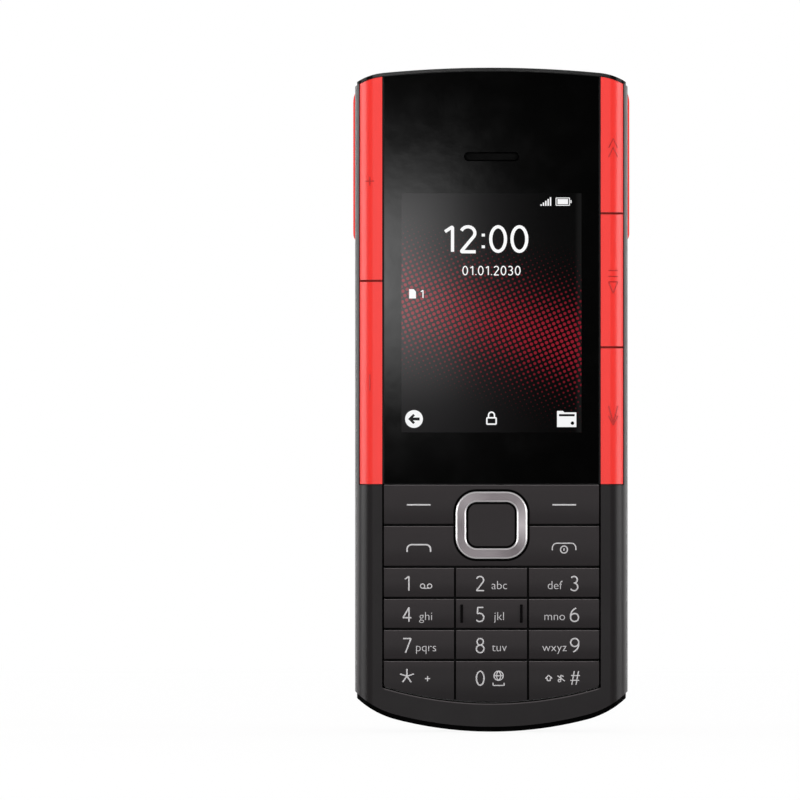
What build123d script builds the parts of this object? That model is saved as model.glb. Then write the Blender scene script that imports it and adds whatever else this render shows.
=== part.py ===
"""Slider phone with two wireless earbuds stored behind a sliding rear cover.

Sizes are in millimetres. The phone stands upright: Z runs up its length, X to the right as seen
from the front, and the front faces -Y. The origin is under the middle of its lowest edge, halfway
through its depth.
"""
import os
from math import sqrt

from build123d import *

os.makedirs("parts", exist_ok=True)

# ---- Overall form
phone_length = 135.8
body_width = 55.8
phone_depth = 14.5
top_bow = 230.0  # radius of the bowed top end
bottom_bow = 78.0  # radius of the bowed bottom end
top_corner = 12.5
bottom_corner = 18.5
corner_reach = 5.5  # the sides cut the corner rounds short, this far from their full width
front_roll = 3.6  # radius that turns the front face into the sides
shoulder_roll = 1.3
top_cap_height = 0.65
bottom_cap_height = 1.0
cap_inset = 0.4  # the caps lie this far inside the frame at the corners
cap_blank = 9.0  # length of the blank that each cap is cut from

# ---- Clearances
seam = 0.15  # between fixed pieces that meet in a visible line
key_gap = 0.22  # round each side of a key
slide_gap = 0.3  # between the sliding cover and what it passes over
runner_gap = 0.25
fit_gap = 0.1  # round parts dropped into pockets
glue_gap = 0.02  # round small parts bonded into their openings
screw_gap = 0.2

# ---- Depths, counted from the front face to the back
ring_proud = 0.3  # the navigation ring stands out from the front face
window_thickness = 1.0
lcd_gap = 0.15
lcd_thickness = 1.8
board_thickness = 0.8
shield_height = 1.2
shield_gap = 0.3
tongue = 0.8  # rear frame's step into the front frame, twice over
front_wall = 2.75  # wall behind the front face, which the keypad opening passes through
slider_wall = 1.2
cover_drop = 0.35  # the back cover lies this far below the rear frame's rim
cover_wall = 1.1

front_face = -phone_depth / 2 + ring_proud
window_seat = front_face + window_thickness
lcd_front = window_seat + lcd_gap
lcd_back = lcd_front + lcd_thickness
wall_back = front_face + front_wall
board_front = lcd_back + fit_gap
board_back = board_front + board_thickness
tongue_front = board_back + shield_height + shield_gap
tongue_back = tongue_front + tongue
shoulder_y = tongue_back + tongue  # rear edge of the front frame
slider_back = phone_depth / 2
slider_inside = slider_back - slider_wall
rim_back = slider_inside - slide_gap
cover_back = rim_back - cover_drop
cover_front = cover_back - cover_wall

# ---- Widths, counted inwards from the sides
rail_margin = 1.0  # strip of the front frame outside the side keys
rail_width = 4.55
well_margin = 0.35  # between the side keys' inner edge and the well behind the front wall
window_margin = 0.4
lcd_margin = 1.55
field_margin = 0.35
shoulder_width = 1.95
rear_step = 0.2
groove_wall = 1.45
rim_band = 2.25  # flat band of the rear frame beside the back cover
rim_slope = 1.6

half_body = body_width / 2
rail_outer = half_body - rail_margin
rail_inner = rail_outer - rail_width
half_well = rail_inner - well_margin
window_half = rail_inner - window_margin
lcd_half = window_half - lcd_margin
field_half = rail_inner - field_margin
half_rear = half_body - shoulder_width - rear_step
half_cavity = half_rear - groove_wall
rim_half = half_rear - rim_band
cover_half = rim_half - rim_slope

# ---- Keypad, counted up from its lower edge
keypad_low = 6.1
last_row_height = 8.3
row_height = 5.91
call_row_height = 8.35
soft_row_height = 8.21
row_gap = 2 * key_gap
column_split = 7.46
key_sink = 0.25  # key edges lie this far below the front face
key_arch = 0.3  # a key's front bulges by this much
key_edge_round = 0.2
key_thickness = 1.05
keymat_thickness = 0.6
key_travel_room = 0.4
locator_size = (0.45, 3.3)  # raised bars that let a thumb find the middle key
locator_rise = 0.25
locator_inset = 1.36

number_rows = 4
row_pitch = row_height + row_gap
top_row_high = keypad_low + last_row_height + (number_rows - 1) * row_pitch
call_bar_low = top_row_high + row_gap
bar_split = call_bar_low + call_row_height
keypad_high = bar_split + soft_row_height
key_edge = front_face + key_sink
key_crest = key_edge - key_arch
key_back = key_edge + key_thickness
keymat_front = key_back + key_travel_room
keymat_back = keymat_front + keymat_thickness

# ---- Navigation ring and select key
ring_size = (14.6, 13.7)
ring_corner = 4.3
ring_band = 2.1
ring_thickness = 1.2
ring_gap = 0.3
ring_edge = 0.3
select_corner = 1.9
plate_thickness = 0.25
plate_band = 1.7
plate_inset = 0.5
plate_hole_corner = 1.0

# ---- Display and earpiece
window_sill = 0.3  # from the keypad's upper edge to the window
lcd_sill = 6.05
lcd_head = 22.6  # from the display's upper edge to the top end
earpiece_drop = 18.2
earpiece_slot = (11.25, 1.85)
earpiece_body = (13.0, 6.0)
earpiece_sink = 0.55
mesh_thickness = 0.2

window_low = keypad_high + window_sill
lcd_low = window_low + lcd_sill
lcd_high = phone_length - lcd_head
earpiece_z = phone_length - earpiece_drop

# ---- Side keys on the front shoulders, their splits counted down from the top end
rail_sill = 0.2
rail_thickness = 2.05
rail_travel_room = 0.75
flex_thickness = 0.3
flex_width = 2.4
side_pocket_wall = 0.75
volume_split = 43.6
play_top = 29.8
play_bottom = 57.2

rail_low = keypad_high + rail_sill
rail_back = front_face + rail_thickness
pocket_floor = rail_back + rail_travel_room
side_keys = [
    ("volume_down_key", -1, rail_low, phone_length - volume_split),
    ("volume_up_key", -1, phone_length - volume_split, phone_length),
    ("next_key", 1, rail_low, phone_length - play_bottom),
    ("play_key", 1, phone_length - play_bottom, phone_length - play_top),
    ("previous_key", 1, phone_length - play_top, phone_length),
]

# ---- Earbud bay, counted down from the top end
bay_head = 4.4
bay_length = 26.8
bay_margin = 10.7
bay_divider = 1.2
bay_corner = 1.5
tray_wall = 0.8
tray_flange = 1.7
tray_flange_thickness = 0.4
tray_gap = 0.2
bud_gap = 0.9  # between an earbud and the walls of its pocket
bud_sill = 1.0
bud_headroom = 1.3
contact_rise = 0.25  # the charging pins stand out of the tray's floor
nozzle_length = 4.5
nozzle_root = 1.5
tip_length = 6.4
tip_overhang = 4.8
tip_wall = 0.7
tip_gap = 0.2
pin_radius = 0.45
pin_pitch = 2.0

bay_high = phone_length - bay_head
bay_low = bay_high - bay_length
bay_half = half_body - bay_margin
tray_floor_y = board_back + tray_gap + tray_wall
bud_front = tray_floor_y + contact_rise
bud_thickness = slider_inside - bud_headroom - bud_front
bud_radius = (bay_half - bay_divider / 2) / 2 - bud_gap
bud_x = (bay_half + bay_divider / 2) / 2
bud_z = bay_low + bud_sill + bud_radius
bud_y = bud_front + bud_thickness / 2
tip_radius = bud_y - tray_floor_y - tip_gap
nozzle_radius = tip_radius - tip_wall - 0.35

# ---- Rear frame and back cover
rear_roll = 3.2
cover_low = 3.2
cover_head = 3.2  # from the back cover's upper edge to the earbud bay
cover_corner = 2.0
rim_sill = 0.6
notch_half = 6.7
notch_slope = 1.2
notch_rise = 0.75

cover_high = bay_low - cover_head
rim_low = cover_low - rim_sill

# ---- Camera, flash and loudspeakers
upper_slot_drop = 5.8
camera_drop = 8.6
lower_slot_rise = 10.6
bezel_size = 10.5
bezel_corner = 3.3
bezel_band = 0.9
bezel_edge = 0.2
camera_well_margin = 0.7
camera_glass_thickness = 0.4
lens_radius = 2.45
lens_rim = 0.6
barrel_rim = 1.0
barrel_length = 1.4
lens_sink = 0.3
flash_x = -9.86
flash_radius = 1.94
slot_length = 15.6
slot_height = 2.05
speaker_size = (17.0, 7.4)
speaker_offset = 1.2
speaker_thickness = 3.4
speaker_gap = 0.6
mesh_sink = 0.35

upper_slot_z = cover_high - upper_slot_drop
camera_z = upper_slot_z - camera_drop
lower_slot_z = cover_low + lower_slot_rise

# ---- Battery, its contacts, the card holder and the board
battery_head = 9.4  # from the battery's upper edge to the camera's centre
battery_sill = 5.2
battery_margin = 2.3
bay_floor = 1.1
battery_gap = 0.3
battery_end_gap = 0.5
battery_corner = 1.2
contact_size = (11.0, 2.6)
contact_reach = 0.7
contact_pitch = 3.6
contact_height = 4.7
blade_size = 1.0
blade_drop = 2.2
sim_size = (17.0, 14.0)
sim_drop = 10.6
sim_wall = 0.8
sim_lid = 0.3
shield_low = 22.0
shield_drop = 10.0
shield_margin = 6.5
shield_space = 3.0
board_sill = 4.5
board_head = 7.8
motor_size = (8.0, 4.0)
motor_margin = 6.4
microphone_size = (3.4, 2.6)
microphone_x = -10.0
microphone_z = 7.0
microphone_height = 1.0

battery_half = cover_half - battery_margin
battery_low = lower_slot_z + battery_sill
battery_high = camera_z - battery_head
battery_front = tongue_front + bay_floor
battery_back = cover_front - battery_gap

# ---- Sliding cover and its runners
slider_overhang = 0.4
slider_lap = 3.5  # over the back cover's upper edge
slider_low_bow = 203.0
slider_low_corner = 2.4
slider_top_corner = 5.0
slide_travel = 33.0
runner_thickness = 0.8
runner_drop = 0.9
runner_width = 2.1
runner_inset = 1.6  # shorter than the cover's side wall at each end
roll_start = 0.05  # the roll of the side wall begins this far behind the runners
chevron_low = 6.63
chevron_pitch = 3.74
chevron_half = 3.6
chevron_rise = 2.33
chevron_width = 1.2
chevron_groove = 0.24
chevron_bend = 1.6

slider_half = half_body + slider_overhang
slider_low = cover_high - slider_lap
slider_front = shoulder_y + slide_gap
runner_front = shoulder_y + runner_drop
runner_back = runner_front + runner_thickness
runner_reach = slider_half - slider_wall - runner_width
slider_roll = slider_back - runner_back - roll_start

# ---- Sockets
jack_margin = 6.5
jack_radius = 1.8
jack_wall = 0.5
jack_depth = 14.0
jack_end = 1.0
jack_sink = 0.35
jack_nose_height = 1.9
usb_size = (7.6, 2.8)
usb_depth = 5.6
usb_sink = 0.25
usb_shell = 0.3
usb_tongue = (4.6, 0.6)
usb_tongue_offset = 0.3

jack_x = half_body - jack_margin
jack_y = (tongue_back + rim_back) / 2
jack_nose = jack_radius + jack_wall

# ---- Screws
screw_radius = 0.7
head_radius = 1.25
head_height = 0.6
head_gap = 0.15
screw_bite = 0.5  # from a screw's tip to the bottom of its hole
boss_radius = 1.25
top_screw_margin = 5.0
top_screw_rise = 3.4
bay_screw_margin = 2.0
bay_screw_rise = 2.85

top_high = phone_length - top_cap_height
cavity_low = 3.0
cavity_head = 2.4
cavity_high = phone_length - cavity_head
trim_spare = 1.0


def level(y):
    """Plane at depth y, drawn on as the front view; an extrusion from it runs towards the front."""
    return Plane.XZ.offset(-y)


def sagitta(bow, half_width):
    return bow - sqrt(bow**2 - half_width**2)


def bowed_outline(
    half_width, low, high, low_bow=bottom_bow, high_bow=top_bow, low_corner=0, high_corner=0
):
    """Front view of a straight-sided form whose ends bow outwards; a bow of 0 is a flat end."""
    low_side = low + (sagitta(low_bow, half_width) if low_bow else 0)
    high_side = high - (sagitta(high_bow, half_width) if high_bow else 0)
    with BuildSketch() as outline:
        with BuildLine():
            if low_bow:
                ThreePointArc((-half_width, low_side), (0, low), (half_width, low_side))
            else:
                Line((-half_width, low), (half_width, low))
            Line((half_width, low_side), (half_width, high_side))
            if high_bow:
                ThreePointArc((half_width, high_side), (0, high), (-half_width, high_side))
            else:
                Line((half_width, high), (-half_width, high))
            Line((-half_width, high_side), (-half_width, low_side))
        make_face()
        if low_corner:
            fillet(outline.vertices().group_by(Axis.Y)[0], low_corner)
        if high_corner:
            fillet(outline.vertices().group_by(Axis.Y)[-1], high_corner)
    return outline.sketch


def rolled_section(half_width, front_y, back_y, front_radius=0, back_radius=0):
    """Section seen from above, with the front or the rear edges rolled into the sides."""
    with BuildSketch() as section:
        with Locations((0, (front_y + back_y) / 2)):
            Rectangle(2 * half_width, back_y - front_y)
        if front_radius:
            fillet(section.vertices().group_by(Axis.Y)[0], front_radius)
        if back_radius:
            fillet(section.vertices().group_by(Axis.Y)[-1], back_radius)
    return section.sketch


def fill(outline, front_y, back_y, mode=Mode.ADD):
    """Add or cut an outline between two depths, or trim to it a little past them."""
    spare = trim_spare if mode == Mode.INTERSECT else 0
    with BuildSketch(level(back_y + spare)) as face:
        add(outline)
    extrude(to_extrude=face.sketch, amount=back_y - front_y + 2 * spare, mode=mode)


def block(centre, size, front_y, back_y, corner=0, mode=Mode.ADD):
    """Add or cut a block with a centre and size in the front view, between two depths."""
    with BuildSketch() as face:
        with Locations(centre):
            if corner:
                RectangleRounded(*size, corner)
            else:
                Rectangle(*size)
    fill(face.sketch, front_y, back_y, mode)


def disc(centre, radius, front_y, back_y, mode=Mode.ADD):
    """Add or cut a round with its axis front to back."""
    with BuildSketch() as face:
        with Locations(centre):
            Circle(radius)
    fill(face.sketch, front_y, back_y, mode)


def keep(piece, name):
    piece.part.label = name
    export_step(piece.part, f"parts/{name}.step")


def body_outline(low, high):
    """Front view of the body's ends, with corner rounds that reach past its sides."""
    return bowed_outline(
        half_body + corner_reach, low, high, low_corner=bottom_corner, high_corner=top_corner
    )


# ---- Shared outlines
frame_outline = body_outline(bottom_cap_height, top_high)
with BuildSketch() as cap_outline_drawing:
    add(body_outline(0, phone_length))
    with Locations((0, phone_length / 2)):
        Rectangle(2 * (half_body - cap_inset), phone_length + 2 * trim_spare, mode=Mode.INTERSECT)
cap_outline = cap_outline_drawing.sketch
front_section = rolled_section(half_body, front_face, shoulder_y, front_roll, shoulder_roll)
rear_section = rolled_section(half_rear, shoulder_y - tongue, rim_back, 0, rear_roll)

with BuildPart() as front_envelope:
    with BuildSketch(Plane.XY):
        add(front_section)
    extrude(amount=phone_length)
    fill(frame_outline, front_face, shoulder_y, mode=Mode.INTERSECT)

with BuildPart() as rear_envelope:
    with BuildSketch(Plane.XY):
        add(rear_section)
    extrude(amount=phone_length)
    fill(frame_outline, shoulder_y - tongue, rim_back, mode=Mode.INTERSECT)

# ---- Room for the charging socket, cut from both frames and the bottom cap
usb_y = board_back + usb_size[1] / 2
with BuildPart() as usb_room:
    with BuildSketch(Plane.XY):
        with Locations((0, usb_y)):
            RectangleRounded(usb_size[0] + 2 * fit_gap, usb_size[1] + 2 * fit_gap, 0.7)
    extrude(amount=usb_sink + usb_depth + fit_gap)

# ---- Front frame: carries the window, the keypad, the board and the side keys
display_height = lcd_high - lcd_low
display_z = (lcd_high + lcd_low) / 2
recess_low = rail_low - key_gap
recess_z = (recess_low + phone_length) / 2
recess_height = phone_length - recess_low
rail_pocket_x = (half_well + rail_outer + key_gap) / 2
rail_pocket_width = rail_outer + key_gap - half_well
bosses = [(side * (half_body - top_screw_margin), bay_low + top_screw_rise) for side in (-1, 1)]
bay_bosses = [
    (side * (battery_half - bay_screw_margin), window_low + bay_screw_rise) for side in (-1, 1)
]
boss_back = tongue_front - fit_gap
keypad_opening = bowed_outline(
    field_half + key_gap, keypad_low - key_gap, recess_low + seam, high_bow=0, low_corner=0.9
)
tongue_gap = 0.2

with BuildPart() as front_frame:
    add(front_envelope.part)
    block((0, recess_z), (2 * rail_inner, recess_height), front_face, window_seat, mode=Mode.SUBTRACT)
    for side in (-1, 1):
        block(
            (side * rail_pocket_x, recess_z),
            (rail_pocket_width, recess_height),
            front_face,
            pocket_floor,
            mode=Mode.SUBTRACT,
        )
    fill(keypad_opening, front_face, wall_back, mode=Mode.SUBTRACT)
    fill(
        bowed_outline(half_well, cavity_low, cavity_high), wall_back, shoulder_y, mode=Mode.SUBTRACT
    )
    fill(
        bowed_outline(half_cavity + tongue_gap, cavity_low, cavity_high),
        pocket_floor + side_pocket_wall,
        shoulder_y,
        mode=Mode.SUBTRACT,
    )
    fill(
        bowed_outline(half_body - shoulder_width, bottom_cap_height, top_high),
        shoulder_y - tongue,
        shoulder_y,
        mode=Mode.SUBTRACT,
    )
    block(
        (0, display_z),
        (2 * (lcd_half + fit_gap), display_height + 2 * fit_gap),
        window_seat,
        wall_back,
        mode=Mode.SUBTRACT,
    )
    block(
        (0, earpiece_z),
        (earpiece_body[0] + 2 * fit_gap, earpiece_body[1] + 2 * fit_gap),
        window_seat,
        wall_back,
        mode=Mode.SUBTRACT,
    )
    for centre in bosses:
        disc(centre, boss_radius, pocket_floor + side_pocket_wall, boss_back)
        disc(centre, screw_radius, pocket_floor + side_pocket_wall, boss_back, mode=Mode.SUBTRACT)
    for centre in bay_bosses:
        disc(centre, boss_radius, wall_back, boss_back)
        disc(centre, screw_radius, board_front, boss_back, mode=Mode.SUBTRACT)
    add(usb_room.part, mode=Mode.SUBTRACT)
keep(front_frame, "front_frame")

# ---- Display stack
window_outline = bowed_outline(window_half, window_low, top_high - seam, low_bow=0)
with BuildPart() as display_window:
    fill(window_outline, front_face, window_seat)
    with BuildSketch(level(window_seat)):
        with Locations((0, earpiece_z)):
            SlotOverall(*earpiece_slot)
    extrude(amount=window_thickness, mode=Mode.SUBTRACT)
keep(display_window, "display_window")

with BuildPart() as lcd_panel:
    block((0, display_z), (2 * lcd_half, display_height), lcd_front, lcd_back, corner=0.6)
keep(lcd_panel, "lcd_panel")

with BuildPart() as earpiece:
    block((0, earpiece_z), earpiece_body, window_seat + mesh_thickness, wall_back, corner=1.5)
keep(earpiece, "earpiece")

earpiece_mesh_front = front_face + earpiece_sink
with BuildPart() as earpiece_mesh:
    with BuildSketch(level(window_seat)):
        with Locations((0, earpiece_z)):
            SlotOverall(earpiece_slot[0] - glue_gap, earpiece_slot[1] - glue_gap)
    extrude(amount=window_seat - earpiece_mesh_front)
keep(earpiece_mesh, "earpiece_mesh")


# ---- Number keys: arched bars cut into columns, the lowest row following the chin
def key_bar(low, high):
    """Full-width key bar, its front an arch from the lower to the upper edge."""
    with BuildSketch(Plane.YZ) as profile:
        with BuildLine():
            Line((key_back, high), (key_back, low))
            Line((key_back, low), (key_edge, low))
            ThreePointArc((key_edge, low), (key_crest, (low + high) / 2), (key_edge, high))
            Line((key_edge, high), (key_back, high))
        make_face()
        fillet(profile.vertices().group_by(Axis.X)[0], key_edge_round)
    extrude(to_extrude=profile.sketch, amount=field_half, both=True)


key_field = bowed_outline(field_half, keypad_low, keypad_high, high_bow=0, low_corner=0.8)
column_edges = [-field_half, -column_split, column_split, field_half]
key_rows = [
    ["key_1", "key_2", "key_3"],
    ["key_4", "key_5", "key_6"],
    ["key_7", "key_8", "key_9"],
    ["key_star", "key_0", "key_hash"],
]
for row, row_names in enumerate(key_rows):
    row_high = top_row_high - row * row_pitch
    row_low = row_high - row_height if row < len(key_rows) - 1 else keypad_low
    for column, name in enumerate(row_names):
        left = column_edges[column] + (key_gap if column else 0)
        right = column_edges[column + 1] - (key_gap if column < 2 else 0)
        with BuildPart() as key:
            key_bar(row_low, row_high)
            block(
                ((left + right) / 2, (row_low + row_high) / 2),
                (right - left, row_high - row_low),
                key_crest,
                key_back,
                mode=Mode.INTERSECT,
            )
            fill(key_field, key_crest, key_back, mode=Mode.INTERSECT)
            if name == "key_5":
                for side in (-1, 1):
                    block(
                        (side * (column_split - locator_inset), (row_low + row_high) / 2),
                        locator_size,
                        key_crest - locator_rise,
                        key_edge,
                        corner=key_edge_round,
                    )
        keep(key, name)

# ---- Soft keys, call keys, navigation ring and select key
ring_room = (ring_size[0] + 2 * ring_gap, ring_size[1] + 2 * ring_gap)
for name, low, high in (
    ("soft_key_bar", bar_split + key_gap, keypad_high),
    ("call_key_bar", call_bar_low, bar_split - key_gap),
):
    with BuildPart() as bar:
        key_bar(low, high)
        block(
            (0, bar_split),
            ring_room,
            key_crest,
            key_back,
            corner=ring_corner + ring_gap,
            mode=Mode.SUBTRACT,
        )
    keep(bar, name)

nav_front = -phone_depth / 2
nav_back = nav_front + ring_thickness
ring_hole = (ring_size[0] - 2 * ring_band, ring_size[1] - 2 * ring_band)
with BuildPart() as nav_ring:
    block((0, bar_split), ring_size, nav_front, nav_back, corner=ring_corner)
    block(
        (0, bar_split),
        ring_hole,
        nav_front,
        nav_back,
        corner=ring_corner - ring_band,
        mode=Mode.SUBTRACT,
    )
    chamfer(nav_ring.faces().sort_by(Axis.Y)[0].edges(), ring_edge)
keep(nav_ring, "nav_ring")

plate_front = nav_back + ring_gap
plate_back = plate_front + plate_thickness
plate_size = (ring_size[0] - 2 * plate_inset, ring_size[1] - 2 * plate_inset)
with BuildPart() as nav_plate:
    block((0, bar_split), plate_size, plate_front, plate_back, corner=ring_corner - plate_inset)
    block(
        (0, bar_split),
        (plate_size[0] - 2 * plate_band, plate_size[1] - 2 * plate_band),
        plate_front,
        plate_back,
        corner=plate_hole_corner,
        mode=Mode.SUBTRACT,
    )
keep(nav_plate, "nav_plate")

select_size = (ring_hole[0] - 2 * ring_gap, ring_hole[1] - 2 * ring_gap)
with BuildPart() as select_key:
    block((0, bar_split), select_size, key_crest, key_back, corner=select_corner)
    fillet(select_key.faces().sort_by(Axis.Y)[0].edges(), key_edge_round)
keep(select_key, "select_key")

# ---- Side keys, cut from the rolled shoulders of the front
for name, side, low, high in side_keys:
    key_low = low if low == rail_low else low + key_gap
    key_high = high if high == phone_length else high - key_gap
    with BuildPart() as side_key:
        block(
            (side * (rail_inner + rail_outer) / 2, (key_low + key_high) / 2),
            (rail_outer - rail_inner, key_high - key_low),
            front_face,
            rail_back,
        )
        with BuildSketch(Plane.XY):
            add(front_section)
        extrude(amount=phone_length + trim_spare, mode=Mode.INTERSECT)
        fill(body_outline(0, top_high - seam), front_face, rail_back, mode=Mode.INTERSECT)
    keep(side_key, name)

with BuildPart() as side_key_flex:
    for name, side, low, high in side_keys:
        middle = (low + min(high, top_high)) / 2
        block(
            (side * rail_pocket_x, middle),
            (flex_width, (min(high, top_high) - low) / 2),
            pocket_floor - flex_thickness,
            pocket_floor,
            corner=0.5,
        )
keep(side_key_flex, "side_key_flex")

# ---- Silicone keymat with a nub under each key, dome sheet and main board
dome_thickness = 0.15
nub_radius = 1.1
dome_radius = 2.0
bar_dome_margin = 6.0
ring_dome_inset = 1.7
number_columns = [-(column_split + field_half) / 2, 0, (column_split + field_half) / 2]
dome_places = [
    (x, top_row_high - row * row_pitch - row_height / 2)
    for row in range(number_rows)
    for x in number_columns
]
dome_places += [
    (side * (field_half - bar_dome_margin), z)
    for side in (-1, 1)
    for z in ((bar_split + keypad_high) / 2, (call_bar_low + bar_split) / 2)
]
ring_dome_x = ring_size[0] / 2 - ring_dome_inset
dome_places += [(0, bar_split), (-ring_dome_x, bar_split), (ring_dome_x, bar_split)]

with BuildPart() as keymat:
    fill(
        bowed_outline(field_half - fit_gap, keypad_low, keypad_high - fit_gap, high_bow=0),
        keymat_front,
        keymat_back,
    )
    for place in dome_places:
        disc(place, nub_radius, keymat_back, board_front - dome_thickness)
keep(keymat, "keymat")

with BuildPart() as dome_sheet:
    for place in dome_places:
        disc(place, dome_radius, board_front - dome_thickness, board_front)
keep(dome_sheet, "dome_sheet")

board_half = half_well - 2 * fit_gap
with BuildPart() as main_board:
    fill(
        bowed_outline(board_half, board_sill, phone_length - board_head, high_bow=0),
        board_front,
        board_back,
    )
    for centre in bay_bosses + bosses:
        disc(centre, boss_radius + fit_gap, board_front, board_back, mode=Mode.SUBTRACT)
keep(main_board, "main_board")

sim_z = battery_high - sim_drop
can_width = board_half - shield_margin - shield_space / 2
can_x = (shield_space + can_width) / 2
shield_high = sim_z - sim_size[1] / 2 - shield_drop
can_height = (shield_high - shield_low - shield_space) / 2
with BuildPart() as shield_cans:
    for centre, height in (
        ((-can_x, shield_low + can_height / 2), can_height),
        ((-can_x, shield_high - can_height / 2), can_height),
        ((can_x, (shield_low + shield_high) / 2), shield_high - shield_low - 2 * shield_space),
    ):
        block(centre, (can_width, height), board_back, board_back + shield_height)
keep(shield_cans, "shield_cans")

card_room = (sim_size[0] - 2 * sim_wall, sim_size[1])
with BuildPart() as sim_holder:
    block((0, sim_z), sim_size, board_back, board_back + shield_height)
    block(
        (0, sim_z - sim_wall),
        card_room,
        board_back + mesh_thickness,
        board_back + shield_height - sim_lid,
        mode=Mode.SUBTRACT,
    )
keep(sim_holder, "sim_holder")

# ---- Rear frame: battery bay, wells for the camera and loudspeakers, earbud bay, runner grooves
battery_middle = (battery_low + battery_high) / 2
bay_clear = (
    2 * (battery_half + fit_gap),
    battery_high - battery_low + 2 * battery_end_gap,
)
speaker_room = (speaker_size[0] + 2 * fit_gap, speaker_size[1] + 2 * fit_gap)
speaker_back = cover_front - speaker_gap
speaker_places = [(0, upper_slot_z + speaker_offset), (0, lower_slot_z - speaker_offset)]
slot_places = [(0, upper_slot_z), (0, lower_slot_z)]
bay_middle = (bay_low + bay_high) / 2
tray_size = (2 * (bay_half + tray_wall), bay_high - bay_low + 2 * tray_wall)
flange_size = (tray_size[0] + 2 * tray_flange, tray_size[1] + tray_flange)
well_size = bezel_size - 2 * camera_well_margin
groove_front = runner_front - runner_gap
groove_back = runner_back + runner_gap
side_low = slider_low + sagitta(slider_low_bow, slider_half) + slider_low_corner
side_high = phone_length - sagitta(top_bow, slider_half) - top_cap_height - slider_top_corner
runner_low = side_low + runner_inset
runner_high = side_high - runner_inset
groove_low = runner_low - slide_travel - runner_gap
jack_top = phone_length - sagitta(top_bow, jack_x) - jack_sink
jack_bottom = jack_top - jack_depth - jack_end
contact_z = battery_high + contact_reach + contact_size[1] / 2
motor_place = (cover_half - motor_margin, camera_z)

with BuildPart() as jack_room:
    with BuildSketch(Plane.XY.offset(phone_length)):
        with Locations((jack_x, jack_y)):
            Circle(jack_nose + fit_gap)
    extrude(amount=jack_top - jack_nose_height - phone_length)

with BuildPart() as rear_frame:
    add(rear_envelope.part)
    fill(
        bowed_outline(half_cavity, cavity_low + tongue_gap, cavity_high - tongue_gap),
        tongue_front,
        tongue_back,
    )
    fill(
        bowed_outline(
            cover_half + seam, cover_low - seam, cover_high, high_bow=0, low_corner=cover_corner
        ),
        cover_front,
        rim_back,
        mode=Mode.SUBTRACT,
    )
    with BuildSketch(level(cover_back - fit_gap)):
        add(
            bowed_outline(
                cover_half + seam, cover_low - seam, cover_high, high_bow=0, low_corner=cover_corner
            )
        )
    with BuildSketch(level(rim_back)):
        add(bowed_outline(rim_half, rim_low, cover_high, high_bow=0, low_corner=cover_corner))
    loft(mode=Mode.SUBTRACT)
    block((0, battery_middle), bay_clear, battery_front, rim_back, mode=Mode.SUBTRACT)
    block(
        (0, contact_z - contact_reach / 2),
        (contact_size[0] + 2 * fit_gap, contact_size[1] + contact_reach + 2 * fit_gap),
        tongue_front,
        cover_front,
        mode=Mode.SUBTRACT,
    )
    block(
        (0, camera_z),
        (well_size, well_size),
        tongue_front,
        rim_back,
        corner=bezel_corner - camera_well_margin,
        mode=Mode.SUBTRACT,
    )
    for place in speaker_places:
        block(place, speaker_room, tongue_front, speaker_back, mode=Mode.SUBTRACT)
    for place in slot_places:
        with BuildSketch(level(cover_front)) as slot:
            with Locations(place):
                SlotOverall(slot_length, slot_height)
        extrude(to_extrude=slot.sketch, amount=cover_front - speaker_back, mode=Mode.SUBTRACT)
    disc((flash_x, camera_z), flash_radius + fit_gap, tongue_front, rim_back, mode=Mode.SUBTRACT)
    block(
        motor_place,
        (motor_size[0] + 2 * fit_gap, motor_size[1] + 2 * fit_gap),
        tongue_front,
        board_back + motor_size[1] + fit_gap,
        mode=Mode.SUBTRACT,
    )
    block(
        (0, bay_middle),
        (tray_size[0] + 2 * fit_gap, tray_size[1] + 2 * fit_gap),
        tongue_front,
        rim_back,
        mode=Mode.SUBTRACT,
    )
    block(
        (0, bay_middle),
        (flange_size[0] + 2 * seam, flange_size[1] + 2 * seam),
        rim_back - tray_flange_thickness,
        rim_back,
        corner=cover_corner,
        mode=Mode.SUBTRACT,
    )
    for side in (-1, 1):
        block(
            (side * (half_rear + runner_reach - runner_gap) / 2, (groove_low + phone_length) / 2),
            (half_rear - runner_reach + runner_gap, phone_length - groove_low),
            groove_front,
            groove_back,
            mode=Mode.SUBTRACT,
        )
    for centres, seat in ((bosses, cover_front), (bay_bosses, battery_front)):
        for centre in centres:
            disc(centre, screw_radius + screw_gap, tongue_front, rim_back, mode=Mode.SUBTRACT)
            disc(centre, head_radius + head_gap, seat - head_height, rim_back, mode=Mode.SUBTRACT)
    # room for the headset socket's housing, open to the board side, and for its nose
    block(
        (jack_x, (jack_bottom + jack_top - jack_nose_height) / 2),
        (2 * (jack_nose + fit_gap), jack_top - jack_nose_height - jack_bottom + 2 * fit_gap),
        tongue_front,
        jack_y + jack_nose + fit_gap,
        mode=Mode.SUBTRACT,
    )
    add(jack_room.part, mode=Mode.SUBTRACT)
    # finger notch for lifting the back cover
    with BuildSketch(level(rim_back)) as notch:
        with BuildLine():
            Polyline(
                (-notch_half, 0),
                (notch_half, 0),
                (notch_half, bottom_cap_height),
                (notch_half - notch_slope, bottom_cap_height + notch_rise),
                (notch_slope - notch_half, bottom_cap_height + notch_rise),
                (-notch_half, bottom_cap_height),
                close=True,
            )
        make_face()
    extrude(to_extrude=notch.sketch, amount=cover_wall + cover_drop, mode=Mode.SUBTRACT)
    add(usb_room.part, mode=Mode.SUBTRACT)
keep(rear_frame, "rear_frame")

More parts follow.
